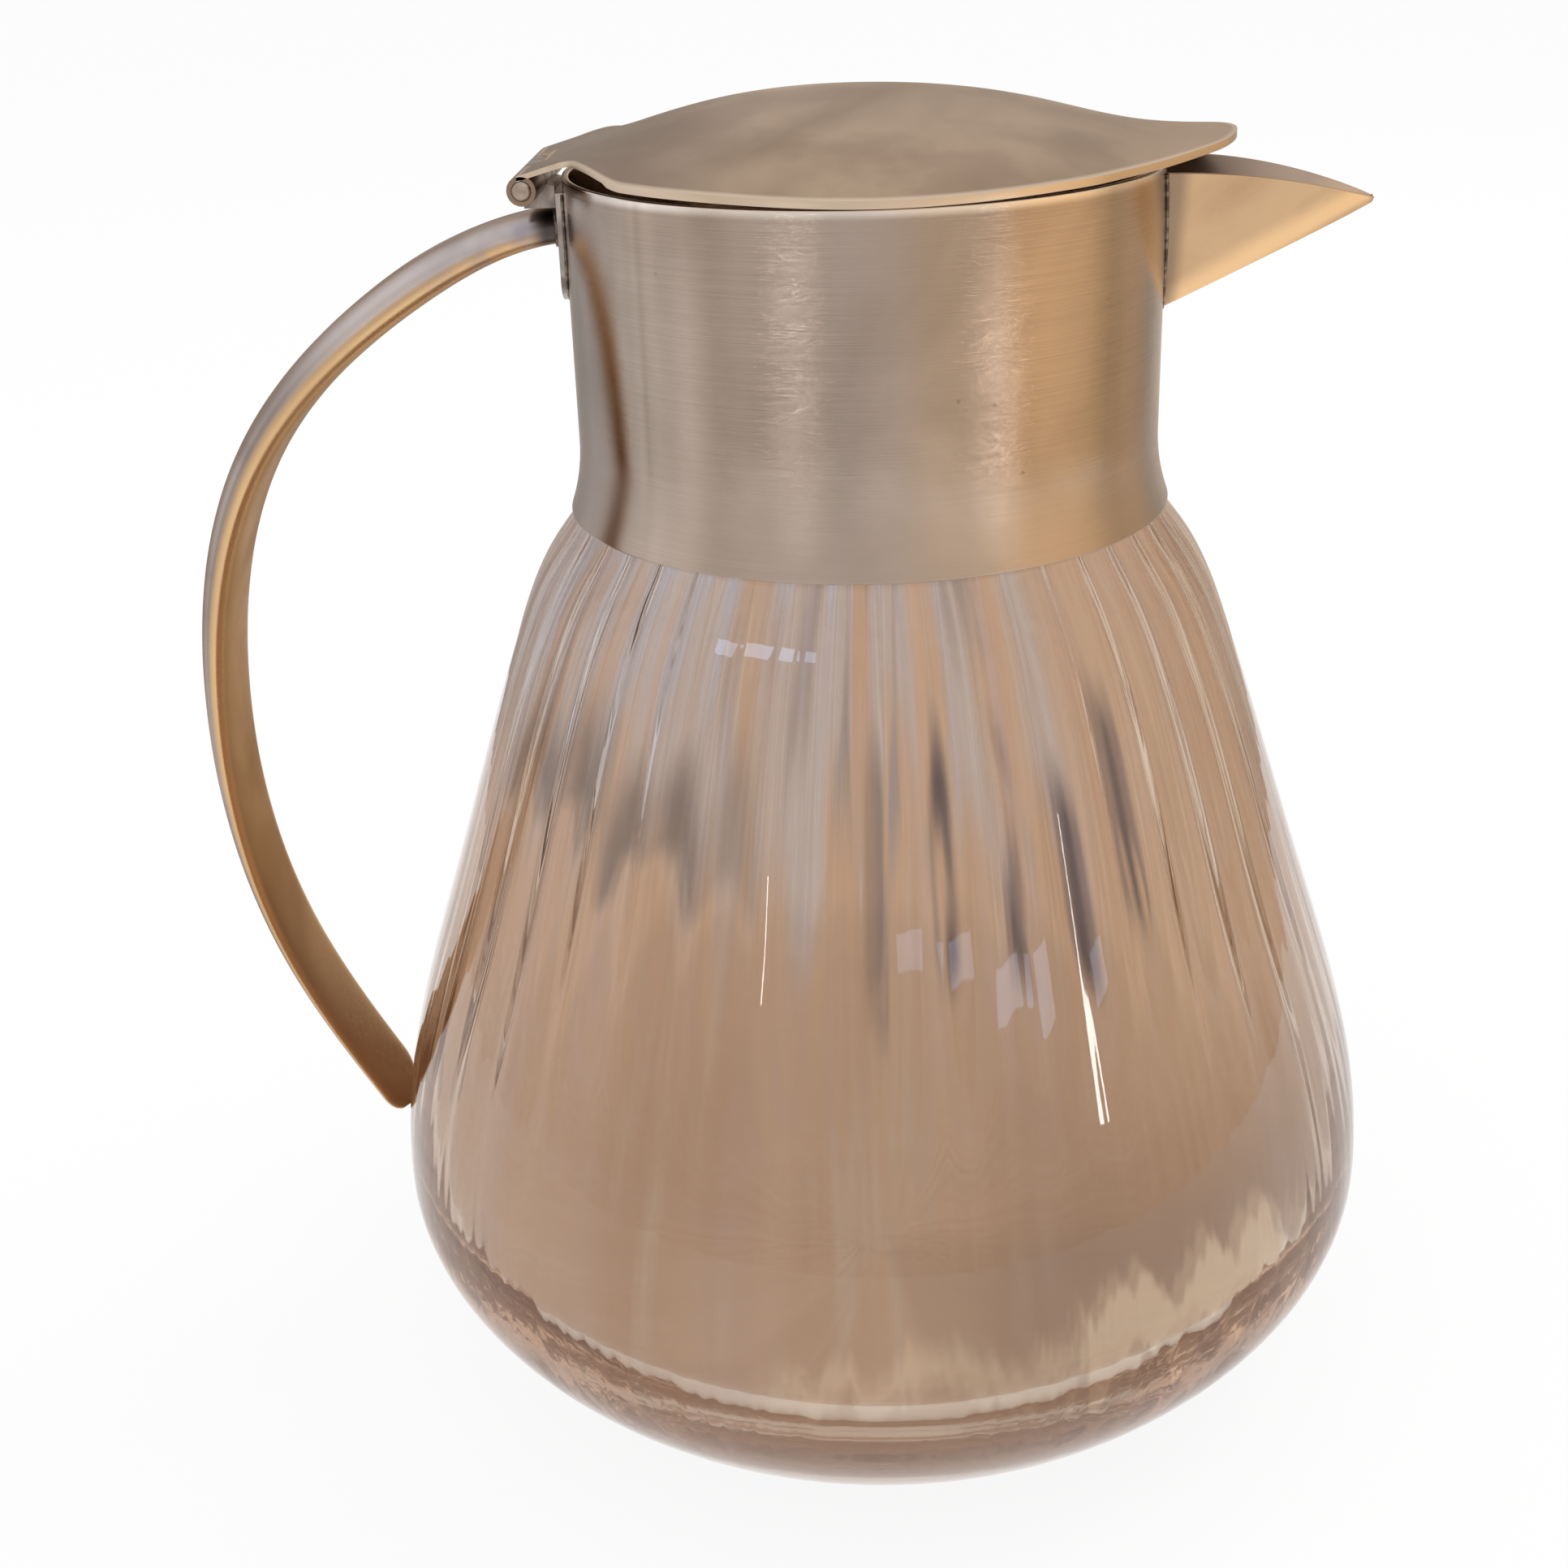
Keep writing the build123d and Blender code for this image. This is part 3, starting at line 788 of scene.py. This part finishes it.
outer_rim = (collar_radius, rim_height)
inner_rim = (collar_radius - collar_wall, rim_height)
outer_flare = flare(collar_radius)
inner_flare = flare(collar_radius - collar_wall)[::-1]
collar_line = (
    rounded(outer_rim, inner_rim, (collar_radius, 0), rim_rounding)
    + outer_flare[:-1]
    + rounded(outer_flare[-1], outer_flare[-2], inner_flare[0], lip_rounding)
    + rounded(inner_flare[0], outer_flare[-1], inner_flare[1], lip_rounding)
    + inner_flare[1:]
    + rounded(inner_rim, (collar_radius - collar_wall, 0), outer_rim, rim_rounding)
)
collar_mesh = bmesh.new()
rings = []
for count in range(collar_turns):
    a = 2 * pi * count / collar_turns
    rings.append([collar_mesh.verts.new((r * MM * cos(a), r * MM * sin(a), z * MM)) for r, z in collar_line])
for corners in quads(rings + rings[:1]):
    collar_mesh.faces.new(corners)
collar = built(collar_mesh, "plated_collar")
dress(collar, plate.finish)

# The spout is a trough folded from sheet into a V with a rounded keel, soldered
# over a notch of the same shape in the collar. The folded sheet is slightly golden.
spout_reach = 84.5
spout_widest = 56.0
spout_half_width = 12.7
spout_wall = 1.1
edge_drop = 1.6
edge_droop = 6.2
keel_radius = 2.6
keel_drop = 29.0
keel_rise = 20.3
keel_slope = keel_rise / (spout_reach - collar_radius)
spout_gap = 0.05


def trough_section(x, inset=0.0, side_steps=10, keel_steps=10):
    """Points of the V at x, from one top edge round the keel to the other."""
    share = max((x - collar_radius) / (spout_reach - collar_radius), 0.0)
    half = spout_half_width * sqrt(max(1 - ((x - spout_widest) / (spout_reach - spout_widest)) ** 2, 0.0))
    edge = rim_height - edge_drop - edge_droop * share**2
    keel = rim_height - keel_drop + keel_slope * (x - collar_radius)
    lean = atan2(half, edge - keel)
    keel_in = keel + inset / sin(lean)
    half_in = half * (edge - keel_in) / (edge - keel)
    bend = (keel_radius - inset) * half / spout_half_width
    touch = min(bend / sin(lean) * cos(lean), 0.9 * sqrt(half_in**2 + (edge - keel_in) ** 2))
    side_end = (-touch * sin(lean), keel_in + touch * cos(lean))
    side = [tuple(point) for point in np.linspace((-half_in, edge), side_end, side_steps + 1)[:-1].tolist()]
    fold = []
    for i in range(keel_steps + 1):
        a = (pi / 2 - lean) * (2 * i / keel_steps - 1)
        fold.append((bend * sin(a), keel_in + bend / sin(lean) - bend * cos(a)))
    return side + fold + [(-y, z) for y, z in side[::-1]]


def trough_root(i, inset, gap):
    """Where point i of the trough's sections meets the collar, a small gap away from it."""
    x = collar_radius
    for _ in range(4):
        x = sqrt((collar_radius + gap) ** 2 - trough_section(x, inset)[i][0] ** 2)
    return x


spout_places = 40
section_points = range(len(trough_section(spout_widest)))
nose_angle = 83.0
nose_x = spout_widest + (spout_reach - spout_widest) * sin(radians(nose_angle))
spout_mesh = bmesh.new()
skins = []
for inset in (0.0, spout_wall):
    roots = [trough_root(i, inset, spout_gap) for i in section_points]
    rows = []
    for count in range(spout_places + 1):
        share = sin(pi / 2 * count / spout_places)
        row = []
        for i in section_points:
            x = roots[i] + (nose_x - roots[i]) * share
            y, z = trough_section(x, inset)[i]
            row.append(spout_mesh.verts.new((x * MM, y * MM, z * MM)))
        rows.append(row)
    skins.append(rows)
edges = [[[row[i] for row in rows] for rows in skins] for i in (0, -1)]
ends = [[rows[count] for rows in skins] for count in (0, -1)]
for rows in skins + edges + ends:
    for corners in quads(rows, closed=False):
        spout_mesh.faces.new(corners)
spout = built(spout_mesh, "folded_spout")


def soften(piece, width, angle=35.0):
    """Rounds the edges of a piece that are sharper than an angle."""
    rounding = piece.modifiers.new("edge_rounding", "BEVEL")
    rounding.width = width
    rounding.segments = 3
    rounding.limit_method = "ANGLE"
    rounding.angle_limit = radians(angle)
    rounding.harden_normals = False
    settled(piece, rounding)
    for polygon in piece.data.polygons:
        polygon.use_smooth = True


soften(spout, 0.00025)
plate = plated(
    "spout_silver_plate",
    stretch=(90.0, 2200.0, 5200.0),
    depth=0.08,
    bright=(0.64, 0.42, 0.24),
    dull=(0.5, 0.315, 0.175),
    cloud_scale=40.0,
    rough=(0.2, 0.34),
)
place = split(plate.spot)
keel_height = times(maths("SUBTRACT", place["X"], collar_radius * MM), keel_slope)
above_keel = maths("SUBTRACT", maths("SUBTRACT", place["Z"], (rim_height - keel_drop) * MM), keel_height)
# Painted highlight: a bright orange band along the sheet just above the keel.
painted_fold_highlight = times(between(above_keel, 0.0005, 0.003), between(above_keel, 0.009, 0.004))
faces_up = between(split(step(plate.tree, "ShaderNodeTexCoord").outputs["Normal"])["Z"], 0.0, 0.2)
# Painted shade: the upward inner faces are darkened near the collar; outside, the thin dark band at the seam
# is a dark joint.
painted_inside_shade = times(faces_up, between(place["X"], 0.074, 0.056), 0.8)
outside_soot = times(between(place["X"], 0.0535, 0.0505), 0.6)
spout_colour = layered(
    plate.aged,
    (painted_fold_highlight, 0.8, (0.95, 0.62, 0.33)),
    (faces_up, 0.6, (0.5, 0.42, 0.38)),
    (maths("MAXIMUM", painted_inside_shade, outside_soot), 1.0, (0.15, 0.105, 0.085)),
)
feed(plate.shader, [("Base Color", spout_colour), ("Specular Tint", (1.0, 0.86, 0.68))])
dress(spout, plate.finish)

notch_start, notch_end = 44.0, 60.0
notch_places = 9
notch_lift = 4.0
notch_mesh = bmesh.new()
rows = []
for x in np.linspace(notch_start, notch_end, notch_places).tolist():
    section = trough_section(x, spout_wall)
    (y0, z0), (y1, z1) = section[:2]
    lifted = y0 + (y0 - y1) / (z0 - z1) * notch_lift
    section = [(lifted, z0 + notch_lift)] + section[1:-1] + [(-lifted, z0 + notch_lift)]
    rows.append([notch_mesh.verts.new((x * MM, y * MM, z * MM)) for y, z in section])
for corners in [*quads(rows), rows[0], rows[-1]]:
    notch_mesh.faces.new(corners)
notch = built(notch_mesh, "notch", smooth=False)
cut = collar.modifiers.new("trough_notch", "BOOLEAN")
cut.operation = "DIFFERENCE"
cut.solver = "EXACT"
cut.object = notch
settled(collar, cut)
bpy.data.objects.remove(notch)
collar.data.set_sharp_from_angle(angle=radians(40))
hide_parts("neck_collar")
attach(collar, "jug")
spout.data.set_sharp_from_angle(angle=radians(60))
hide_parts("pouring_spout")
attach(spout, "jug")

# The shield is a small plate bent round the collar and soldered to it. It takes the
# pull of the handle and the hinge, and the soldering heat has left it darker.
plate = plated(
    "shield_silver_plate",
    stretch=(1500.0, 1500.0, 200.0),
    depth=0.2,
    bright=(0.5, 0.45, 0.42),
    dull=(0.25, 0.21, 0.2),
    cloud_scale=120.0,
)
dress(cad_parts["handle_shield"], plate.finish)

# The handle is a forged strap: thick at its soldered root, crowned on its back and
# flat inside, thinning all the way to a free rounded end beside the glass.
handle_places = 150
nearby = 0.004
section_count = 40
root_x, root_z = -51.3, rim_height - 8.7
bend_run, bend_fall = 29.8, 12.3
out_x, out_z = -119.1, rim_height - 90.2
upper_setback, upper_rise = 12.2, 43.6
lower_setback, lower_fall = 7.0, 52.8
end_x, end_z = -93.4, 43.0
root_way, end_way = (-1, -0.11), (0.5, -0.866)
root_width, grip_width, end_width = 15.5, 21.0, 19.5
root_thickness, shoulder_thickness, end_thickness = 5.6, 7.1, 1.6
widening, narrowing, swelling = 0.3, 0.6, 0.14
tip_start, tip_bluntness = 0.97, 1.04
side_power, back_power, face_power = 2 / 3, 2 / 2.3, 2 / 3.4
strap_line = smooth_line(
    [
        (root_x, root_z),
        (root_x - bend_run, root_z - bend_fall),
        (out_x + upper_setback, out_z + upper_rise),
        (out_x, out_z),
        (out_x + lower_setback, out_z - lower_fall),
        (end_x, end_z),
    ],
    root_way,
    end_way,
    steps=40,
)
run = np.r_[0, np.cumsum(np.linalg.norm(np.diff(strap_line, axis=0), axis=1))]
run /= run[-1]


def along_strap(t):
    """The middle of the strap at a share of its run."""
    return tuple(float(np.interp(t, run, strap_line[:, k])) for k in (0, 1))


def eased(share):
    """A share from 0 to 1 with soft ends."""
    share = min(max(share, 0.0), 1.0)
    return share * share * (3 - 2 * share)


def bulged(value, power):
    """A cosine or sine made fuller, so that a round turns towards a rounded box."""
    return (1 if value > 0 else -1) * abs(value) ** power


strap = bmesh.new()
face_side = strap.verts.layers.float.new("inner_side")
sections = []
for count in range(handle_places + 1):
    t = count / handle_places
    x, z = along_strap(t)
    (x0, z0), (x1, z1) = along_strap(max(t - nearby, 0)), along_strap(min(t + nearby, 1))
    size = sqrt((x1 - x0) ** 2 + (z1 - z0) ** 2)
    nx, nz = (z1 - z0) / size, (x0 - x1) / size
    tip = max(t - tip_start, 0) / (1 - tip_start) / tip_bluntness
    width = root_width + (grip_width - root_width) * eased(t / widening)
    width -= (grip_width - end_width) * eased((t - narrowing) / (1 - narrowing))
    width *= sqrt(1 - tip**2)
    thick = root_thickness + (shoulder_thickness - root_thickness) * eased(t / swelling)
    thick -= (shoulder_thickness - end_thickness) * eased((t - swelling) / (1 - swelling))
    section = []
    for i in range(section_count):
        c, s = cos(2 * pi * i / section_count), sin(2 * pi * i / section_count)
        across = width / 2 * bulged(c, side_power)
        out = thick / 2 * bulged(s, back_power if s > 0 else face_power)
        px = x + nx * out if count else -sqrt(root_x**2 - across**2)
        v = strap.verts.new((px * MM, across * MM, (z + nz * out) * MM))
        v[face_side] = -s
        section.append(v)
    sections.append(section)
for corners in [*quads(sections), sections[0], sections[-1]]:
    strap.faces.new(corners)
handle = built(strap, "strap_handle")
plate = plated(
    "handle_silver_plate",
    stretch=(500.0, 3500.0, 500.0),
    depth=0.16,
    bright=(0.44, 0.375, 0.355),
    dull=(0.28, 0.23, 0.215),
    cloud_scale=30.0,
)
side = step(plate.tree, "ShaderNodeAttribute", attribute_name="inner_side").outputs["Fac"]
place = split(plate.spot)
# Painted reflection: the inner face, which faces the glass, is tinted dark gold-brown like the warm glass.
painted_reflection_face = between(side, -0.15, 0.4)
# Painted highlight: a bright gold line along the corner between side and inner face.
painted_corner_highlight = times(between(side, -0.15, 0.15), between(side, 0.8, 0.45))
dulled_end = times(between(place["Z"], 0.1, 0.055), between(side, 0.2, 0.5))
# Painted highlight: the back of the strap is made pale near its root.
painted_back_highlight = times(between(place["X"], -0.108, -0.085), between(side, 0.1, -0.1))
heat_tint = times(between(place["X"], -0.078, -0.058), between(noise(plate.spot, 130.0, 2.0), 0.35, 0.6))
root_soot = between(place["X"], -0.056, -0.0525)
handle_colour = layered(
    plate.aged,
    (painted_reflection_face, 0.95, (0.29, 0.15, 0.065)),
    (painted_corner_highlight, 0.9, (0.8, 0.53, 0.28)),
    (dulled_end, 0.8, (0.38, 0.25, 0.16)),
    (painted_back_highlight, 0.75, (0.72, 0.66, 0.655)),
    (heat_tint, 0.5, (0.27, 0.26, 0.36)),
    (root_soot, 1.0, (0.1, 0.085, 0.08)),
)
feed(plate.shader, [("Base Color", handle_colour), ("Specular Tint", (0.85, 0.7, 0.55))])
dress(handle, plate.finish)
handle.data.set_sharp_from_angle(angle=radians(82))
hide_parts("handle")
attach(handle, "jug")

# Silver solder joins spout and shield to the collar and the handle to the shield. It was
# run in by hand, so each seam is a thin uneven bead, left dark where it wasn't polished.
bead, given = group_tree(
    "uneven_solder_bead",
    "GeometryNodeTree",
    [
        ("Geometry", "Geometry", None),
        ("Bead radius", "Float", 0.0004),
        ("Unevenness", "Float", 0.4),
        ("Seed", "Float", 0.0),
        ("Solder", "Material", None),
    ],
    [("Geometry", "Geometry")],
)
seam_curve = step(bead, "GeometryNodeMeshToCurve", [("Mesh", given["Geometry"])]).outputs[0]
curve_links = [("Curve", seam_curve), ("Length", 0.0004)]
even_curve = step(bead, "GeometryNodeResampleCurve", curve_links, mode="LENGTH")
bead_place = step(bead, "GeometryNodeInputPosition").outputs[0]
lumps = noise(bead_place, 520.0, 2.0, ("W", given["Seed"]), noise_dimensions="4D")
swing = times(maths("SUBTRACT", lumps, 0.5), given["Unevenness"], 2.0)
wire_links = [("Resolution", 10), ("Radius", given["Bead radius"])]
round_wire = step(bead, "GeometryNodeCurvePrimitiveCircle", wire_links)
run_bead = step(
    bead,
    "GeometryNodeCurveToMesh",
    [
        ("Curve", even_curve.outputs[0]),
        ("Profile Curve", round_wire.outputs[0]),
        ("Scale", maths("ADD", swing, 1.0)),
        ("Fill Caps", True),
    ],
)
coated(run_bead.outputs[0], given["Solder"])

solder_metal, tree, shader, spot = plain_finish("run_solder")
soot = noise(spot, 700.0, 3.0)
feed(shader, [
    ("Base Color", blended(between(soot, 0.38, 0.6), (0.3, 0.245, 0.205), (0.1, 0.08, 0.07))),
    ("Metallic", 1.0),
    ("Roughness", 0.42),
    ("Normal", bumped(soot, 0.5, 0.0002)),
])

seam_gap = 0.2
seam_inset = -0.15
spout_seam = []
for i in section_points:
    x = trough_root(i, seam_inset, seam_gap)
    spout_seam.append((x, *trough_section(x, seam_inset)[i]))
shield_half, shield_top = 8.95, 220.2
bow_top, bow_radius, bow_sweep = 212.4, 11.15, radians(77.0)
bow = [
    (-shield_half + bow_radius - bow_radius * cos(a), bow_top - bow_radius * sin(a))
    for a in np.linspace(0, bow_sweep, 20).tolist()
]
shield_half_line = [(-shield_half, shield_top)] + bow
shield_line = shield_half_line + [(-y, z) for y, z in shield_half_line[::-1]]
shield_seam = [(-sqrt((collar_radius + seam_gap) ** 2 - y * y), y, z) for y, z in shield_line]
shield_face_radius = 51.35
root_half_width, root_half_height = 7.8, 2.85
root_seam_points = 60
handle_seam = []
for i in range(root_seam_points):
    a = 2 * pi * i / root_seam_points
    across = root_half_width * bulged(cos(a), 2 / 4.5)
    rise = root_half_height * bulged(sin(a), 0.5)
    handle_seam.append((-sqrt(shield_face_radius**2 - across**2), across, root_z + rise))
for name, path, closed, radius, seed in (
    ("spout_solder_seam", spout_seam, False, 0.00028, 1.0),
    ("shield_solder_seam", shield_seam, False, 0.00026, 4.0),
    ("handle_solder_seam", handle_seam, True, 0.00034, 7.0),
):
    last = len(path) - 1
    edges = [(i, i + 1) for i in range(last)] + ([(last, 0)] if closed else [])
    seam = plain_piece(name, [(x * MM, y * MM, z * MM) for x, y, z in path], edges)
    shape_by(bead, seam, bead_radius=radius, seed=seed, solder=solder_metal)
    outward(seam)
    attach(seam, "jug")

# The hinge's centre knuckle is a small block soldered to the shield, and the pin is
# a drawn wire riveted over at both ends. Grease and solder heat have darkened both.
plate = plated(
    "hinge_dark_plate",
    stretch=(900.0, 900.0, 900.0),
    depth=0.2,
    bright=(0.42, 0.36, 0.33),
    dull=(0.16, 0.13, 0.12),
    cloud_scale=160.0,
)
dress(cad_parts["hinge_bracket"], plate.finish)
plate = plated(
    "drawn_pin_metal",
    stretch=(3000.0, 40.0, 3000.0),
    depth=0.2,
    bright=(0.66, 0.6, 0.52),
    dull=(0.35, 0.28, 0.22),
    cloud_scale=200.0,
)
dress(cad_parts["hinge_pin"], plate.finish)

# The lid is one pressed leaf of plated sheet, domed both ways and lifted at its tip.
# Its tongue is rolled into two knuckles round the hinge pin behind the collar.
lid_sheet = 0.85
hem_depth = 0.35
lid_radius = 50.6
tip_reach = 61.2
tip_radius = 21.0
tip_middle = tip_reach - tip_radius
front_x = 28.7
tongue_root_x = -49.0
tongue_root_z = rim_height + 3.3
tongue_half = 18.0
tongue_blend = 6.0
pin_x, pin_z = -54.6, rim_height - 0.8
knuckle_radius, knuckle_bore = 2.4, 1.55
knuckle_start = 6.3
cross_sag, tip_sag, root_sag, sag_run = 10.7, 6.0, 0.05, 12.0
crown_line = smooth_line(
    [
        (tongue_root_x, 3.3),
        (-24.0, 10.2),
        (0.0, 12.0),
        (front_x, 8.9),
        (46.5, 4.9),
        (tip_reach + lid_sheet, 4.1),
    ],
    steps=30,
)
tongue_rise, tongue_run = tongue_root_z - pin_z, tongue_root_x - pin_x
knuckle_share = knuckle_radius / np.hypot(tongue_rise, tongue_run)
tongue_angle = atan2(tongue_rise, tongue_run) - float(np.arcsin(knuckle_share))
tongue_x = pin_x - knuckle_radius * sin(tongue_angle)
tongue_z = pin_z + knuckle_radius * cos(tongue_angle)


def lid_height(x, y):
    """Top of the sheet: arcs across the crown line, and the tongue's straight run behind it."""
    if x < tongue_root_x:
        slope = (tongue_root_z - tongue_z) / (tongue_root_x - tongue_x)
        return tongue_root_z + (x - tongue_root_x) * slope
    crown = rim_height + float(np.interp(x, crown_line[:, 0], crown_line[:, 1]))
    lift = max((x - front_x) / (tip_reach - front_x), 0)
    sag = cross_sag * eased((x - tongue_root_x) / sag_run) + tip_sag * lift**2 + root_sag
    bend = (lid_radius**2 + sag**2) / (2 * sag)
    return crown - bend + sqrt(bend**2 - y * y)


def arc(x, y, radius, start, end, points):
    """Points of an arc round a middle, in plan."""
    return [(x + radius * cos(a), y + radius * sin(a)) for a in np.linspace(start, end, points).tolist()]


tangent = float(np.arccos((lid_radius - tip_radius) / tip_middle))
blend_y = tongue_half + tongue_blend
blend_x = -sqrt((lid_radius + tongue_blend) ** 2 - blend_y**2)
join_angle = atan2(blend_y, blend_x)
bracket_gap_x, bracket_gap_half = -52.35, 6.0
half = arc(tip_middle, 0.0, tip_radius, 0, tangent, 26)
side_end = (lid_radius * cos(tangent), lid_radius * sin(tangent))
half += [tuple(point) for point in np.linspace(half[-1], side_end, 12)[1:].tolist()]
half += arc(0.0, 0.0, lid_radius, tangent, join_angle, 90)[1:]
half += arc(blend_x, blend_y, tongue_blend, join_angle - pi, -pi / 2, 12)[1:]
half += [(x, tongue_half) for x in np.linspace(blend_x, tongue_x, 4)[1:].tolist()]
half += [(tongue_x, y) for y in np.linspace(tongue_half, knuckle_start, 8)[1:].tolist()]
half += [(bracket_gap_x, bracket_gap_half * share) for share in (1.0, 0.5, 0.0)]
outline = half + [(x, -y) for x, y in half[1:-1]][::-1]

leaf = bmesh.new()
edge_layer = leaf.verts.layers.float.new("edge_share")
lid_rings = 44
rim_crowding = 1.25
hem_start, hem_run = 0.965, 0.03
hem_back_end = -40.0
rims = []
for under in (0.0, lid_sheet):
    middle = leaf.verts.new((0, 0, (lid_height(0, 0) - under) * MM))
    rows = []
    for ring in range(1, lid_rings + 1):
        share = 1 - (1 - ring / lid_rings) ** rim_crowding
        row = []
        for x, y in outline:
            px, py = x * share, y * share
            hemmed = under and px > hem_back_end
            hem = hem_depth * eased((share - hem_start) / hem_run) if hemmed else 0.0
            v = leaf.verts.new((px * MM, py * MM, (lid_height(px, py) - under - hem) * MM))
            v[edge_layer] = share
            row.append(v)
        rows.append(row)
    fan = [(middle, here, there) for here, there in zip(rows[0], rows[0][1:] + rows[0][:1])]
    for corners in [*fan, *quads(rows)]:
        leaf.faces.new(corners)
    rims.append(rows[-1])
for corners in quads(rims):
    leaf.faces.new(corners)
lid = built(leaf, "leaf_lid")
soften(lid, 0.00028, angle=50.0)

knuckles = bmesh.new()
knuckle_points = 64
for low, high in ((knuckle_start, tongue_half), (-tongue_half, -knuckle_start)):
    loops = []
    outer_ends = [(knuckle_radius, low), (knuckle_radius, high)]
    bore_ends = [(knuckle_bore, high), (knuckle_bore, low)]
    for radius, y in outer_ends + bore_ends:
        circle = arc(pin_x, pin_z, radius, 0, 2 * pi, knuckle_points + 1)[:-1]
        loops.append([knuckles.verts.new((x * MM, y * MM, z * MM)) for x, z in circle])
    for corners in quads(loops + loops[:1]):
        knuckles.faces.new(corners)
rolled = built(knuckles, "rolled_knuckles")
soften(rolled, 0.00015)
plate = plated(
    "lid_silver_plate",
    stretch=(60.0, 2600.0, 2600.0),
    depth=0.1,
    bright=(0.54, 0.4, 0.285),
    dull=(0.34, 0.24, 0.165),
    cloud_scale=18.0,
    specks=0.25,
    rough=(0.3, 0.42),
)
rim_share = step(plate.tree, "ShaderNodeAttribute", attribute_name="edge_share").outputs["Fac"]
stain = between(noise(plate.spot, 34.0, 5.0), 0.48, 0.62)
# Painted shade: the back of the lid, towards the hinge, is darkened.
painted_back_shade = between(split(plate.spot)["X"], -0.012, -0.042)
# Painted highlight: a bright line round the lid's edge.
painted_edge_highlight = between(rim_share, 0.978, 0.996)
lid_colour = layered(
    plate.aged,
    (stain, 0.55, (0.33, 0.225, 0.155)),
    (painted_back_shade, 0.6, (0.25, 0.18, 0.14)),
    (painted_edge_highlight, 0.85, (0.78, 0.64, 0.5)),
)
feed(plate.shader, [("Base Color", lid_colour)])
dress(lid, plate.finish)
dress(rolled, plate.finish)
lid.data.set_sharp_from_angle(angle=radians(60))
rolled.data.set_sharp_from_angle(angle=radians(50))
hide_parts("lid")
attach(lid, "lid")
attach(rolled, "lid")

bpy.context.view_layer.update()
